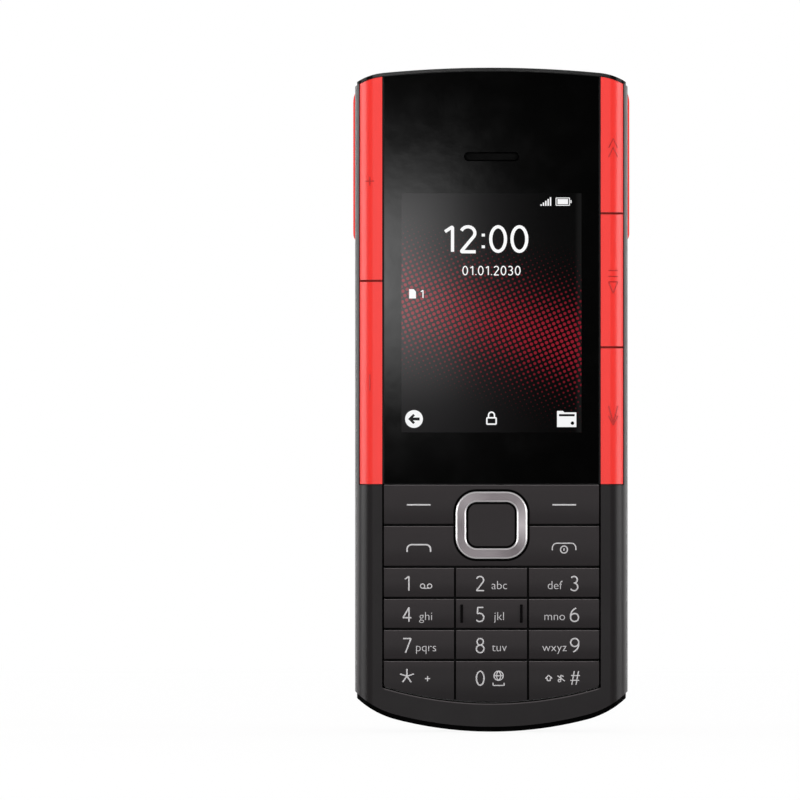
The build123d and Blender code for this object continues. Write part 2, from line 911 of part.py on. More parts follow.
# ---- Back cover with its camera, flash and loudspeaker openings
with BuildPart() as back_cover:
    fill(
        bowed_outline(cover_half, cover_low, cover_high - seam, high_bow=0, low_corner=cover_corner),
        cover_front,
        cover_back,
    )
    bezel_room = bezel_size + 2 * seam
    block(
        (0, camera_z),
        (bezel_room, bezel_room),
        cover_front,
        cover_back,
        corner=bezel_corner + seam,
        mode=Mode.SUBTRACT,
    )
    disc((flash_x, camera_z), flash_radius + fit_gap, cover_front, cover_back, mode=Mode.SUBTRACT)
    with BuildSketch(level(cover_back)):
        with Locations(*slot_places):
            SlotOverall(slot_length, slot_height)
    extrude(amount=cover_wall, mode=Mode.SUBTRACT)
keep(back_cover, "back_cover")

mesh_back = cover_back - mesh_sink
with BuildPart() as speaker_meshes:
    with BuildSketch(level(mesh_back)):
        with Locations(*slot_places):
            SlotOverall(slot_length - glue_gap, slot_height - glue_gap)
    extrude(amount=mesh_thickness)
keep(speaker_meshes, "speaker_meshes")

with BuildPart() as loudspeakers:
    for place in speaker_places:
        block(place, speaker_size, speaker_back - speaker_thickness, speaker_back, corner=1.5)
keep(loudspeakers, "loudspeakers")

# ---- Camera and flash
with BuildPart() as camera_bezel:
    block((0, camera_z), (bezel_size, bezel_size), cover_front, rim_back, corner=bezel_corner)
    glass_room = bezel_size - 2 * bezel_band
    block(
        (0, camera_z),
        (glass_room, glass_room),
        cover_front,
        rim_back,
        corner=bezel_corner - bezel_band,
        mode=Mode.SUBTRACT,
    )
    chamfer(camera_bezel.faces().sort_by(Axis.Y)[-1].edges(), bezel_edge)
keep(camera_bezel, "camera_bezel")

glass_size = glass_room - 2 * glue_gap
with BuildPart() as camera_window:
    block(
        (0, camera_z),
        (glass_size, glass_size),
        cover_back - camera_glass_thickness,
        cover_back,
        corner=bezel_corner - bezel_band,
    )
    disc((0, camera_z), lens_radius + glue_gap, cover_front, cover_back, mode=Mode.SUBTRACT)
keep(camera_window, "camera_window")

barrel_back = cover_back - camera_glass_thickness
barrel_front = barrel_back - barrel_length
housing = well_size - 2 * seam
with BuildPart() as camera_module:
    block((0, camera_z), (housing, housing), board_back, barrel_front, bezel_corner - bezel_band)
    disc((0, camera_z), lens_radius + barrel_rim, barrel_front, barrel_back)
    disc((0, camera_z), lens_radius, barrel_back, cover_back)
    disc((0, camera_z), lens_radius - lens_rim, cover_back - lens_sink, cover_back, Mode.SUBTRACT)
keep(camera_module, "camera_module")

with BuildPart() as flash_lens:
    disc((flash_x, camera_z), flash_radius, board_back, cover_back)
    fillet(flash_lens.faces().sort_by(Axis.Y)[-1].edges(), lens_sink)
keep(flash_lens, "flash_lens")

# ---- Earbud tray with a charging pin under each contact
with BuildPart() as earbud_tray:
    block((0, bay_middle), tray_size, tray_floor_y - tray_wall, rim_back - tray_flange_thickness)
    block(
        (0, bay_middle),
        flange_size,
        rim_back - tray_flange_thickness,
        rim_back,
        corner=cover_corner,
    )
    for side in (-1, 1):
        block(
            (side * bud_x, bay_middle),
            (bay_half - bay_divider / 2, bay_high - bay_low),
            tray_floor_y,
            rim_back,
            corner=bay_corner,
            mode=Mode.SUBTRACT,
        )
    pin_places = [
        (side * bud_x + dx, bud_z) for side in (-1, 1) for dx in (-pin_pitch, 0, pin_pitch)
    ]
    for place in pin_places:
        disc(place, pin_radius, tray_floor_y - tray_wall, tray_floor_y, mode=Mode.SUBTRACT)
keep(earbud_tray, "earbud_tray")

with BuildPart() as charging_pins:
    for place in pin_places:
        disc(place, pin_radius, tray_floor_y - tray_wall, bud_front)
keep(charging_pins, "charging_pins")

# ---- Earbuds: a rounded button with a nozzle that carries a silicone tip
bud_roll = 2.3
nozzle_low = bud_z + bud_radius - nozzle_root
nozzle_high = nozzle_low + nozzle_length
tip_high = nozzle_high + tip_overhang
tip_low = tip_high - tip_length
for name, side in (("earbud_left", -1), ("earbud_right", 1)):
    with BuildPart() as earbud:
        disc((side * bud_x, bud_z), bud_radius, bud_front, bud_front + bud_thickness)
        fillet(earbud.edges().filter_by(GeomType.CIRCLE), bud_roll)
        with BuildSketch(Plane.XY.offset(nozzle_low)):
            with Locations((side * bud_x, bud_y)):
                Circle(nozzle_radius)
        extrude(amount=nozzle_length)
    keep(earbud, name)

tip_shoulder = 0.75
tip_skirt = 1.4
tip_draft = 0.3
with BuildPart() as eartips:
    for side in (-1, 1):
        axis_x = side * bud_x
        tip_plane = Plane(origin=(axis_x, bud_y, 0), x_dir=(1, 0, 0), z_dir=(0, -1, 0))
        with BuildSketch(tip_plane) as tip:
            with BuildLine():
                hole = nozzle_radius - tip_wall
                seat = nozzle_radius + glue_gap
                Polyline((seat, tip_low), (seat, nozzle_high), (hole, nozzle_high), (hole, tip_high))
                ThreePointArc(
                    (hole, tip_high),
                    (tip_radius - tip_shoulder, tip_high - 2 * tip_shoulder),
                    (tip_radius, tip_low + tip_skirt),
                )
                Polyline(
                    (tip_radius, tip_low + tip_skirt),
                    (tip_radius - tip_draft, tip_low),
                    (seat, tip_low),
                )
            make_face()
        revolve(profiles=tip.sketch, axis=Axis((axis_x, bud_y, 0), (0, 0, 1)))
keep(eartips, "eartips")

# ---- Battery, its contacts and the vibration motor
with BuildPart() as battery:
    block(
        (0, battery_middle),
        (2 * battery_half, battery_high - battery_low),
        battery_front,
        battery_back,
        corner=battery_corner,
    )
keep(battery, "battery")

contact_back = board_back + contact_height
with BuildPart() as battery_contacts:
    block((0, contact_z), contact_size, board_back, contact_back)
    for x in (-contact_pitch, 0, contact_pitch):
        block(
            (x, battery_high + contact_reach / 2),
            (blade_size, contact_reach),
            board_back + blade_drop,
            contact_back,
        )
keep(battery_contacts, "battery_contacts")

with BuildPart() as vibration_motor:
    with BuildSketch(Plane.YZ.offset(motor_place[0] - motor_size[0] / 2)):
        with Locations((board_back + motor_size[1] / 2, motor_place[1])):
            Circle(motor_size[1] / 2)
    extrude(amount=motor_size[0])
keep(vibration_motor, "vibration_motor")

# ---- Sockets and microphone
with BuildPart() as audio_jack:
    with BuildSketch(Plane.XY.offset(jack_bottom)):
        with Locations((jack_x, jack_y)):
            RectangleRounded(2 * jack_nose, 2 * jack_nose, jack_wall)
    extrude(amount=jack_depth + jack_end - jack_nose_height)
    with BuildSketch(Plane.XY.offset(jack_top - jack_nose_height)):
        with Locations((jack_x, jack_y)):
            Circle(jack_nose)
    extrude(amount=jack_nose_height)
    with BuildSketch(Plane.XY.offset(jack_top)):
        with Locations((jack_x, jack_y)):
            Circle(jack_radius)
    extrude(amount=-jack_depth, mode=Mode.SUBTRACT)
keep(audio_jack, "audio_jack")

usb_corner = 0.6
with BuildPart() as usb_socket:
    with BuildSketch(Plane.XY.offset(usb_sink)):
        with Locations((0, usb_y)):
            RectangleRounded(*usb_size, usb_corner)
    extrude(amount=usb_depth)
    with BuildSketch(Plane.XY.offset(usb_sink)):
        with Locations((0, usb_y)):
            RectangleRounded(
                usb_size[0] - 2 * usb_shell, usb_size[1] - 2 * usb_shell, usb_corner - usb_shell
            )
    extrude(amount=usb_depth - usb_corner, mode=Mode.SUBTRACT)
    with BuildSketch(Plane.XY.offset(usb_sink + usb_corner)):
        with Locations((0, usb_y - usb_tongue_offset)):
            Rectangle(*usb_tongue)
    extrude(amount=usb_depth - usb_corner)
keep(usb_socket, "usb_socket")

with BuildPart() as microphone:
    block(
        (microphone_x, microphone_z),
        microphone_size,
        board_back,
        board_back + microphone_height,
    )
keep(microphone, "microphone")

# ---- End caps: thin shells over the bowed ends
with BuildSketch() as cap_drawing:
    add(front_section)
    add(rear_section)
cap_section = cap_drawing.sketch

with BuildPart() as top_cap:
    with BuildSketch(Plane.XY.offset(phone_length - cap_blank)):
        add(cap_section)
    extrude(amount=cap_blank)
    fill(cap_outline, front_face, rim_back, mode=Mode.INTERSECT)
    fill(frame_outline, front_face, rim_back, mode=Mode.SUBTRACT)
    add(jack_room.part, mode=Mode.SUBTRACT)
keep(top_cap, "top_cap")

with BuildPart() as bottom_cap:
    with BuildSketch(Plane.XY):
        add(cap_section)
    extrude(amount=cap_blank)
    fill(cap_outline, front_face, rim_back, mode=Mode.INTERSECT)
    fill(frame_outline, front_face, rim_back, mode=Mode.SUBTRACT)
    add(usb_room.part, mode=Mode.SUBTRACT)
keep(bottom_cap, "bottom_cap")

# ---- Sliding cover: a shell wrapped round the back, with runners in the rear frame's grooves
slider_outline = bowed_outline(
    slider_half,
    slider_low,
    top_high - seam,
    low_bow=slider_low_bow,
    low_corner=slider_low_corner,
    high_corner=slider_top_corner,
)
with BuildPart() as slider_cover:
    with BuildSketch(Plane.XY.offset(slider_low)):
        add(rolled_section(slider_half, slider_front, slider_back, 0, slider_roll))
        add(
            rolled_section(
                slider_half - slider_wall,
                slider_front,
                slider_inside,
                0,
                slider_roll - slider_wall,
            ),
            mode=Mode.SUBTRACT,
        )
    extrude(amount=phone_length - slider_low)
    fill(slider_outline, slider_front, slider_back, mode=Mode.INTERSECT)
    for z in (slider_low + chevron_low, slider_low + chevron_low + chevron_pitch):
        for width, mode in (
            (chevron_width + chevron_groove, Mode.SUBTRACT),
            (chevron_width - chevron_groove, Mode.ADD),
        ):
            with BuildSketch(level(slider_back)) as chevron:
                with BuildLine():
                    FilletPolyline(
                        (-chevron_half, z + chevron_rise),
                        (0, z),
                        (chevron_half, z + chevron_rise),
                        radius=chevron_bend,
                    )
                trace(line_width=width)
            extrude(to_extrude=chevron.sketch, amount=chevron_groove, mode=mode)
keep(slider_cover, "slider_cover")

with BuildPart() as slider_runners:
    for side in (-1, 1):
        block(
            (side * (runner_reach + slider_half - slider_wall) / 2, (runner_low + runner_high) / 2),
            (slider_half - slider_wall - runner_reach, runner_high - runner_low),
            runner_front,
            runner_back,
        )
keep(slider_runners, "slider_runners")

# ---- Screws that hold the two frames together
with BuildPart() as frame_screws:
    for centres, seat, tip in (
        (bosses, cover_front - head_height, pocket_floor + side_pocket_wall + screw_bite),
        (bay_bosses, battery_front - head_height, board_front + screw_bite),
    ):
        for centre in centres:
            disc(centre, head_radius, seat, seat + head_height)
            disc(centre, screw_radius - glue_gap, tip, seat)
keep(frame_screws, "frame_screws")
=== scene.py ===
# %% [markdown]
# # A slider phone, from bare solids to finished surfaces
#
# The phone arrives as a set of solid parts that already have their true sizes and places. What they
# lack is everything that light tells us about a surface: the satin of moulded plastic, the paint on
# the red pieces, the print on the keys and the lit picture behind the glass. Each cell below adds
# one of these. First comes the loading, because every later piece is placed against these solids.

# %% Load the solid parts
from math import cos, pi, radians, sin

import bmesh
import bpy
from mathutils import Matrix, Vector
from mathutils.bvhtree import BVHTree


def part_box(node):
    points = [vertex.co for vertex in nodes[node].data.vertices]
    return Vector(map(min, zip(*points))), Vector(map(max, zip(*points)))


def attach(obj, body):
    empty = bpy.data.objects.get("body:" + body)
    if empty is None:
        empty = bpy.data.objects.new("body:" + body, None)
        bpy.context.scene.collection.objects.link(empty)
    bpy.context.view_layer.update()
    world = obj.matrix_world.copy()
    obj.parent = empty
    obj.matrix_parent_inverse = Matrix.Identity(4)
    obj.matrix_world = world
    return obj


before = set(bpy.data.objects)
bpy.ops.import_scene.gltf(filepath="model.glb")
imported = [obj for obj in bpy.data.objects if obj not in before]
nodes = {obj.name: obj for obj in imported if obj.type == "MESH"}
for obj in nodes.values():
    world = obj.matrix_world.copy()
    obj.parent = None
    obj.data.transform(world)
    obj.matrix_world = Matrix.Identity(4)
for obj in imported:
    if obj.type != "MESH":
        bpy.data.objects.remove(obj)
scene = bpy.context.scene
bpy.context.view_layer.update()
MM = 0.001
glass_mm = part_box("display_window")[0].y / MM  # depth of the window's face, the foremost flat

# %% [markdown]
# ## The camera
#
# A product picture of a phone is taken from far away with a long lens, so that both side edges stay
# parallel. Here the lens stands three metres off and looks straight at the front. It is placed a
# little to the left of the phone, which puts the phone right of the middle without turning it.

# %% Place the camera
PIXELS_PER_MM = 4.89
FRAME_PIXELS = 800
CAMERA_DISTANCE = 3.0
phone_foot_pixel = (491.5, 731.7)  # middle of the phone's lowest edge

camera_data = bpy.data.cameras.new("long_lens")
camera = bpy.data.objects.new("long_lens", camera_data)
scene.collection.objects.link(camera)
view_width = FRAME_PIXELS / PIXELS_PER_MM * MM
camera_data.sensor_width = 36.0
camera_data.lens = camera_data.sensor_width * CAMERA_DISTANCE / view_width
camera.location = (
    -(phone_foot_pixel[0] - FRAME_PIXELS / 2) / PIXELS_PER_MM * MM,
    glass_mm * MM - CAMERA_DISTANCE,
    (phone_foot_pixel[1] - FRAME_PIXELS / 2) / PIXELS_PER_MM * MM,
)
camera.rotation_euler = (radians(90), 0, 0)
scene.camera = camera
print("lens", round(camera_data.lens), "mm, camera at", tuple(round(c, 4) for c in camera.location))

# %% [markdown]
# ## One way to write a finish
#
# A finish is a tree of shader nodes. Wiring nodes by hand hides the idea behind the wires, so three
# small classes do the wiring. `Signal` wraps a value that changes over the surface and lets it be
# added, multiplied or joined like a number. `Wiring` makes every node through a single method, and
# `Finish` is the wiring of one material. A mask is a signal between 0 and 1: `*` keeps what two masks
# share, and `|` keeps what either covers.

# %% Signals, which behave like numbers
class Signal:
    """A value that varies over a surface. Sums on it add Math nodes to its wiring."""

    def __init__(self, wiring, socket):
        self.wiring, self.socket = wiring, socket

    def maths(self, operation, *others):
        return self.wiring.node("ShaderNodeMath", {"operation": operation}, [self, *others])

    def __add__(self, other):
        return self.maths("ADD", other)

    def __sub__(self, other):
        return self.maths("SUBTRACT", other)

    def __rsub__(self, other):
        return (self * -1) + other

    def __mul__(self, other):
        return self.maths("MULTIPLY", other)

    def __or__(self, other):
        return self.maths("MAXIMUM", other)

    def __abs__(self):
        return self.maths("ABSOLUTE")

    __radd__, __rmul__ = __add__, __mul__

    def smooth(self, start, end, low=0.0, high=1.0):
        """Turns smoothly from low to high while the value goes from start to end."""
        sockets = {"Value": self, "From Min": start, "From Max": end, "To Min": low, "To Max": high}
        return self.wiring.node("ShaderNodeMapRange", {"interpolation_type": "SMOOTHSTEP"}, sockets)

    def above(self, limit, soft=0.1):
        """A mask of the values past a limit. It rises over a soft edge behind the limit."""
        return self.smooth(limit, limit + soft)

    def below(self, limit, soft=0.1):
        """A mask of the values short of a limit. It falls over a soft edge behind the limit."""
        return self.smooth(limit, limit + soft, 1.0, 0.0)


def diagonal(first, second):
    """Length of the diagonal of a rectangle with these two sides."""
    return (first * first + second * second).maths("SQRT")


print("signals ready")

# %% Wiring and finishes
finishes = []


class Wiring:
    """A tree of shader nodes. One method makes all of them."""

    def __init__(self, tree):
        self.tree = tree

    def node(self, kind, settings, sockets, output=0):
        """Makes one node: first its settings, then the values or links of its sockets."""
        made = self.tree.nodes.new(kind)
        for setting, value in settings.items():
            if setting == "stops":
                while len(made.color_ramp.elements) < len(value):
                    made.color_ramp.elements.new(0.5)
                for stop, (place, colour) in zip(made.color_ramp.elements, value):
                    stop.position, stop.color = place, colour
            else:
                setattr(made, setting, value)
        pairs = sockets.items() if isinstance(sockets, dict) else enumerate(sockets)
        for socket, value in pairs:
            if isinstance(value, Signal):
                self.tree.links.new(value.socket, made.inputs[socket])
            else:
                made.inputs[socket].default_value = value
        return Signal(self, made.outputs[output]) if made.outputs else None


class Finish(Wiring):
    """One material. Its shader's plain numbers are set here and its patterns by later calls."""

    def __init__(self, name, colour, roughness, **shader_values):
        self.material = bpy.data.materials.new(name)
        self.material.use_nodes = True
        finishes.append(name)
        super().__init__(self.material.node_tree)
        self.shader = self.tree.nodes["Principled BSDF"]
        self.shader.inputs["Base Color"].default_value = colour
        self.shader.inputs["Roughness"].default_value = roughness
        for socket, value in shader_values.items():
            label = socket.replace("_", " ").title().replace("Ior", "IOR")
            self.shader.inputs[label].default_value = value

    def feed(self, socket, signal):
        self.tree.links.new(signal.socket, self.shader.inputs[socket])
        return self

    def position(self):
        """Place on the object in millimetres, as a vector."""
        here = self.node("ShaderNodeTexCoord", {}, [], "Object")
        return self.node("ShaderNodeVectorMath", {"operation": "SCALE"}, {0: here, "Scale": 1 / MM})

    def axes(self):
        """Place on the object in millimetres, as three numbers: across, depth and height."""
        here = self.position()
        return [self.node("ShaderNodeSeparateXYZ", {}, [here], axis) for axis in "XYZ"]

    def facing(self, axis):
        """How far the surface faces along an axis: 1 along it, 0 side-on, -1 against it."""
        outward = self.node("ShaderNodeTexCoord", {}, [], "Normal")
        return self.node("ShaderNodeSeparateXYZ", {}, [outward], axis)

    def noise(self, size, detail=2.0, stretch=(1, 1, 1)):
        """Soft noise with features of about this many millimetres, stretched along the axes."""
        sockets = {"Vector": self.position(), "Scale": [1 / s for s in stretch]}
        here = self.node("ShaderNodeMapping", {}, sockets)
        sockets = {"Vector": here, "Scale": 1 / size, "Detail": detail}
        return self.node("ShaderNodeTexNoise", {}, sockets)

    def mix(self, mask, first, second):
        """Colours mixed by a mask: the first where it is 0 and the second where it is 1."""
        sockets = {0: mask, 6: first, 7: second}
        return self.node("ShaderNodeMix", {"data_type": "RGBA"}, sockets, output=2)

    def blacken(self, tone, mask):
        """Colours by tone, and paints shade where the mask is 1: there it returns no light at all, as
        a deep gap does.
        """
        self.feed("Base Color", self.mix(mask, tone, (0, 0, 0, 1)))
        return self.feed("Metallic", mask)

    def relief(self, height, depth):
        """Bends the light as if the surface rose by depth millimetres where height is 1."""
        sockets = {"Strength": 1.0, "Distance": depth * MM, "Height": height}
        return self.feed("Normal", self.node("ShaderNodeBump", {}, sockets))


print("finish classes ready")

# %% [markdown]
# ## Colours, outlines and dressing
#
# Some helpers serve every finish. Colours are written as screen values, because that is how people
# compare them, and they are turned into the linear light that shaders work in. Many masks follow the
# rounded outline of a part, such as the frame of the camera, so the distance from such an outline is
# worked out once, for any part, from its box.

# %% Helpers for every finish
def light(red, green, blue):
    """A screen colour, 0 to 255, as the linear light that shaders work in."""
    steps = [c / 255 for c in (red, green, blue)]
    return (*[c / 12.92 if c <= 0.04045 else ((c + 0.055) / 1.055) ** 2.4 for c in steps], 1.0)


def shade(colour, factor):
    """The same hue, darker or lighter by a factor."""
    return (*[min(1.0, c * factor) for c in colour[:3]], 1.0)


def from_outline(finish, middle, half, corner):
    """Distance in millimetres outwards from a rounded rectangle, seen from the front."""
    x, _, z = finish.axes()
    beyond = [
        abs(place - centre) - (reach - corner) | 0.0
        for place, centre, reach in zip((x, z), middle, half)
    ]
    return diagonal(*beyond) - corner


def front_outline(node):
    """Middle and half size of a solid part in millimetres, seen from the front."""
    low, high = (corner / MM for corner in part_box(node))
    return ((low.x + high.x) / 2, (low.z + high.z) / 2), ((high.x - low.x) / 2, (high.z - low.z) / 2)


def dress(finish, *names):
    """Gives the finish to solid parts by name."""
    for name in names:
        target = bpy.data.objects[name]
        if not target.material_slots:
            target.data.materials.append(finish.material)
        for slot in target.material_slots:
            slot.material = finish.material


print("middle grey in linear light:", round(light(128, 128, 128)[0], 3))

# %% [markdown]
# ## Moulded plastic
#
# Most of the phone is moulded plastic. The mould is spark-eroded, which leaves a grain of about a
# tenth of a millimetre, too fine to see one by one but enough to spread a highlight. The flow of the
# plastic and handling leave broader, fainter changes of tone and sheen. One function covers all
# these pieces, and its arguments are what a moulder would choose: colour, sheen, grain and mottle.

# %% Moulded plastics
CLOUD = 9.0, 3.0  # size in millimetres and detail of the changes of tone


def moulded(name, colour, roughness, grain=0.12, depth=0.006, mottle=0.06, **shader_values):
    """A moulded plastic. Its mottled colour stays in tone, for masks to be laid over it."""
    finish = Finish(name, colour, roughness, **shader_values)
    cloud = finish.noise(*CLOUD)
    finish.tone = finish.mix(cloud, shade(colour, 1 - mottle), shade(colour, 1 + mottle))
    finish.feed("Base Color", finish.tone)
    finish.feed("Roughness", cloud.smooth(0.0, 1.0, roughness - 0.03, roughness + 0.03))
    return finish.relief(finish.noise(grain, 1.0), depth)


LOW_SHEEN = 0.12  # satin black plastic mirrors less than clear plastic does
dress(moulded("tray_black", light(30, 29, 30), 0.5, grain=0.16, depth=0.01), "earbud_tray")
dark_nylon = moulded("dark_nylon", light(24, 24, 25), 0.55)
dress(dark_nylon, "audio_jack", "earpiece", "loudspeakers", "slider_runners")
bud_shell = moulded("bud_shell", light(26, 26, 28), 0.28, grain=0.1, depth=0.003)
dress(bud_shell, "earbud_left", "earbud_right")
dress(moulded("silicone", light(38, 38, 40), 0.62, grain=0.2, depth=0.004), "eartips")
# keymat and nav plate are black silicone, kept near black as painted shade for the gaps round the keys
mat_black = moulded("mat_black", light(6, 6, 6), 0.7, grain=0.2, depth=0.004, specular_ior_level=0.1)
dress(mat_black, "keymat", "nav_plate")
print("finishes so far:", ", ".join(finishes))

# %% [markdown]
# ## The face frame
#
# The frame round the keys and the display is charcoal plastic with a satin skin. Light falls on its
# face but not on the inner walls of its openings, so these walls are painted black as painted shade.
# The shoulder on which the sliding cover runs is painted paler towards its outer edge, a painted
# highlight for the sheen of its rolled edge. Beside the display the frame has a pocket for the side
# keys, and its floor is coloured red as painted light, so that no black shade shows in the seam
# between two red keys. All this is colour that depends on the place, so masks on the place draw it.

# %% Tone of the face frame
DEEP_BLACK = light(2, 2, 2)
BODY_RED = light(216, 37, 28)
WINDOW_HALF, WALL_START = 22.3, 0.25  # the walls start this far behind the window
SHOULDER_IN, SHOULDER_OUT = 25.6, 27.6
POCKET_IN, POCKET_OUT, POCKET_LOW = 22.35, 26.95, 52.0
POCKET_FRONT, POCKET_BACK = -6.4, -1.4

charcoal = moulded(
    "charcoal_satin", light(12, 9, 10), 0.31, mottle=0.08, specular_ior_level=LOW_SHEEN
)
x, depth, z = charcoal.axes()
beside = abs(x)
# painted shade: the inner walls of the openings are coloured black
painted_wall_shade = depth.above(glass_mm + WALL_START) * beside.below(WINDOW_HALF)
face_tone = charcoal.mix(painted_wall_shade, charcoal.tone, DEEP_BLACK)
# painted highlight: the rolled shoulder is coloured paler towards its outer edge
painted_shoulder_sheen = beside.smooth(SHOULDER_IN, SHOULDER_OUT) * depth.smooth(-0.5, -0.1, 0.3, 1.0)
face_tone = charcoal.mix(painted_shoulder_sheen, face_tone, light(74, 72, 73))
# painted light: the pocket floor is coloured red so that the seam between two red keys shows no black
# shade
pocket = beside.above(POCKET_IN) * beside.below(POCKET_OUT)
pocket = pocket * z.above(POCKET_LOW, 0.2)
pocket = pocket * depth.above(POCKET_FRONT, 0.2) * depth.below(POCKET_BACK, 0.2)
print("pocket of the side keys", round(POCKET_OUT - POCKET_IN, 2), "mm wide")

# %% [markdown]
# ## The rim of the keypad
#
# The face has one large opening for the keys. Its edge drops away into shadow all round, and below
# the last row the lower edge is slightly rounded, so it catches the light as a thin pale line. The
# opening has straight sides and a bowed lower end, and so two distances describe it: one from the
# sides and one from the arc. Bands of these distances paint the shadow as painted shade and the pale
# line as a painted highlight.

# %% Rim of the keypad opening
OPENING_HALF, OPENING_LOW, OPENING_HIGH, OPENING_BOW = 22.22, 5.88, 50.58, 78.0
below_arc = diagonal(x, z - (OPENING_LOW + OPENING_BOW)) - OPENING_BOW
beyond_side = beside - OPENING_HALF
# painted shade round the rim of the opening, and a painted highlight line below the last row
painted_rim_shade = (below_arc | beyond_side).below(0.1, 0.06) * z.below(OPENING_HIGH + 0.05)
painted_rim_highlight = below_arc.above(0.12, 0.08) * below_arc.below(0.3, 0.12)
painted_rim_highlight = painted_rim_highlight * beyond_side.below(-0.6, 0.8)
face_tone = charcoal.mix(painted_rim_highlight, face_tone, light(58, 54, 55))
charcoal.blacken(charcoal.mix(pocket, face_tone, BODY_RED), painted_rim_shade)
dress(charcoal, "front_frame")
print("opening", 2 * OPENING_HALF, "by", round(OPENING_HIGH - OPENING_LOW, 2), "mm")

# %% [markdown]
# ## The back cover and the camera's frame
#
# The back cover has a coarser grain than the face, so that it doesn't show fingers. Where it meets
# the camera's frame and the loudspeaker slots there is a gap, and a black line is painted along it as
# painted shade. The frame of the camera is stepped: only its flat middle takes light, and the steps
# inside and outside are painted black as painted shade. The distance from each rounded outline gives
# all of these lines an even width.

# %% Back cover and camera frame
BEZEL_CORNER = 3.3
BEZEL_GAP, SLOT_GAP = 0.26, 0.05  # how far the black gaps reach beyond the outlines
STEP_IN, STEP_OUT = -0.68, -0.14  # the flat of the camera's frame lies between these
SLOT_HALF, SLOT_ROUND = 7.8, 1.025
camera_middle, camera_half = front_outline("camera_bezel")
camera_z = camera_middle[1]


def from_slots(finish):
    """Distance in millimetres outwards from the nearer of the two loudspeaker slots."""
    low, high = (corner.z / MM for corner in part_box("speaker_meshes"))
    lower, upper = (
        from_outline(finish, (0, z), (SLOT_HALF, SLOT_ROUND), SLOT_ROUND)
        for z in (low + SLOT_ROUND, high - SLOT_ROUND)
    )
    return lower.maths("MINIMUM", upper)


cover_black = moulded(
    "cover_matte", light(38, 35, 36), 0.5, grain=0.16, depth=0.012, specular_ior_level=LOW_SHEEN
)
from_bezel = from_outline(cover_black, camera_middle, camera_half, BEZEL_CORNER)
# painted shade along the gaps round the camera frame and the loudspeaker slots
painted_gap_shade = from_bezel.below(BEZEL_GAP) | from_slots(cover_black).below(SLOT_GAP, 0.07)
cover_tone = cover_black.mix(cover_black.noise(*CLOUD), light(37, 34, 35), light(39, 36, 37))
dress(cover_black.blacken(cover_tone, painted_gap_shade), "back_cover")

bezel_colour = light(36, 34, 35)
bezel_satin = moulded("bezel_satin", bezel_colour, 0.34, grain=0.08, depth=0.002)
from_rim = from_outline(bezel_satin, camera_middle, camera_half, BEZEL_CORNER)
# painted shade on the steps inside and outside the camera frame's flat
painted_step_shade = from_rim.below(STEP_IN, 0.08) | from_rim.above(STEP_OUT, 0.08)
cloud = bezel_satin.noise(3.0)
bezel_tone = bezel_satin.mix(cloud, shade(bezel_colour, 0.95), shade(bezel_colour, 1.05))
dress(bezel_satin.blacken(bezel_tone, painted_step_shade), "camera_bezel")
print("camera centre at", round(camera_z, 2), "mm")

# %% [markdown]
# ## Paint and gloss
#
# The red pieces are painted. Paint levels itself but never quite, so its highlights wobble a little:
# the eye reads this faint orange peel as paint. A thin clear coat gives the sharp part of the sheen.
# The glossy black caps and the window have no coat, because polished plastic and glass are already
# as smooth as their mould.

# %% Paints and polished black
PAINT_CLOUD = 14.0, 2.0


def painted(name, colour, roughness=0.34):
    """A sprayed paint under a thin clear coat, with orange peel."""
    finish = Finish(
        name, colour, roughness, coat_weight=0.12, coat_roughness=0.2, specular_ior_level=0.2
    )
    cloud = finish.noise(*PAINT_CLOUD)
    finish.feed("Base Color", finish.mix(cloud, shade(colour, 0.97), shade(colour, 1.03)))
    peel = finish.noise(0.7, 2.0) * 0.7 + finish.noise(0.15, 1.0) * 0.3
    return finish.relief(peel, 0.01)


def polished(name, colour, roughness, wave=0.004, **shader_values):
    """A gloss with faint smears and a slow wave, as a polished mould leaves it."""
    finish = Finish(name, colour, roughness, **shader_values)
    smear = finish.noise(5.0, 4.0)
    finish.feed("Roughness", smear.smooth(0.35, 0.8, roughness, roughness * 1.3))
    return finish.relief(finish.noise(2.5, 2.0), wave)


red_paint = painted("red_paint", light(190, 29, 22), 0.38)
dress(red_paint, "volume_up_key", "volume_down_key", "previous_key", "play_key", "next_key")
dress(polished("gloss_black", light(3, 3, 3), 0.14, specular_ior_level=0.05), "top_cap")
dress(polished("cap_black", light(0, 0, 0), 0.3, specular_ior_level=0.01), "bottom_cap")
GLASS_SHEEN, GLASS_BLUR = 0.0105, 0.042  # the window is coated, so that it mirrors little
window_black = polished(
    "window_black", light(0, 0, 0), GLASS_BLUR, wave=0.001, specular_ior_level=GLASS_SHEEN
)
dress(window_black, "display_window")
camera_black = polished("camera_black", light(2, 2, 3), 0.05, specular_ior_level=0.03)
dress(camera_black, "camera_window")
print("finishes so far:", len(finishes))

# %% [markdown]
# ## Red paint and painted shade on the frame
#
# The frame is painted red outside. Its inner walls and the floor under the back cover are coloured
# dark grey as painted shade, so that the gaps round the cover and beside the keys show no red. Depth
# and distance from the middle find them. The narrow slope next to the back cover lies in the shade of
# the cover's edge, and it is painted a darker red as painted shade.

# %% Body frame
# painted shade: walls in front of this depth and within this half width are coloured dark grey
INNER_DEPTH, INNER_HALF = 3.9, 24.2  # walls in front of this and within this stay bare
COVER_DEPTH, SLOPE_DEPTH = 4.36, 4.2

body_paint = painted("body_paint", BODY_RED)
x, depth, z = body_paint.axes()
beside = abs(x)
cover_side, _, cover_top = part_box("back_cover")[1] / MM
inner_wall = depth.below(INNER_DEPTH, 0.3) * beside.below(INNER_HALF, 0.2)
under_cover = depth.below(COVER_DEPTH, 0.08) * beside.below(cover_side - 0.2, 0.2)
under_cover = under_cover * z.below(cover_top - 0.2, 0.2)
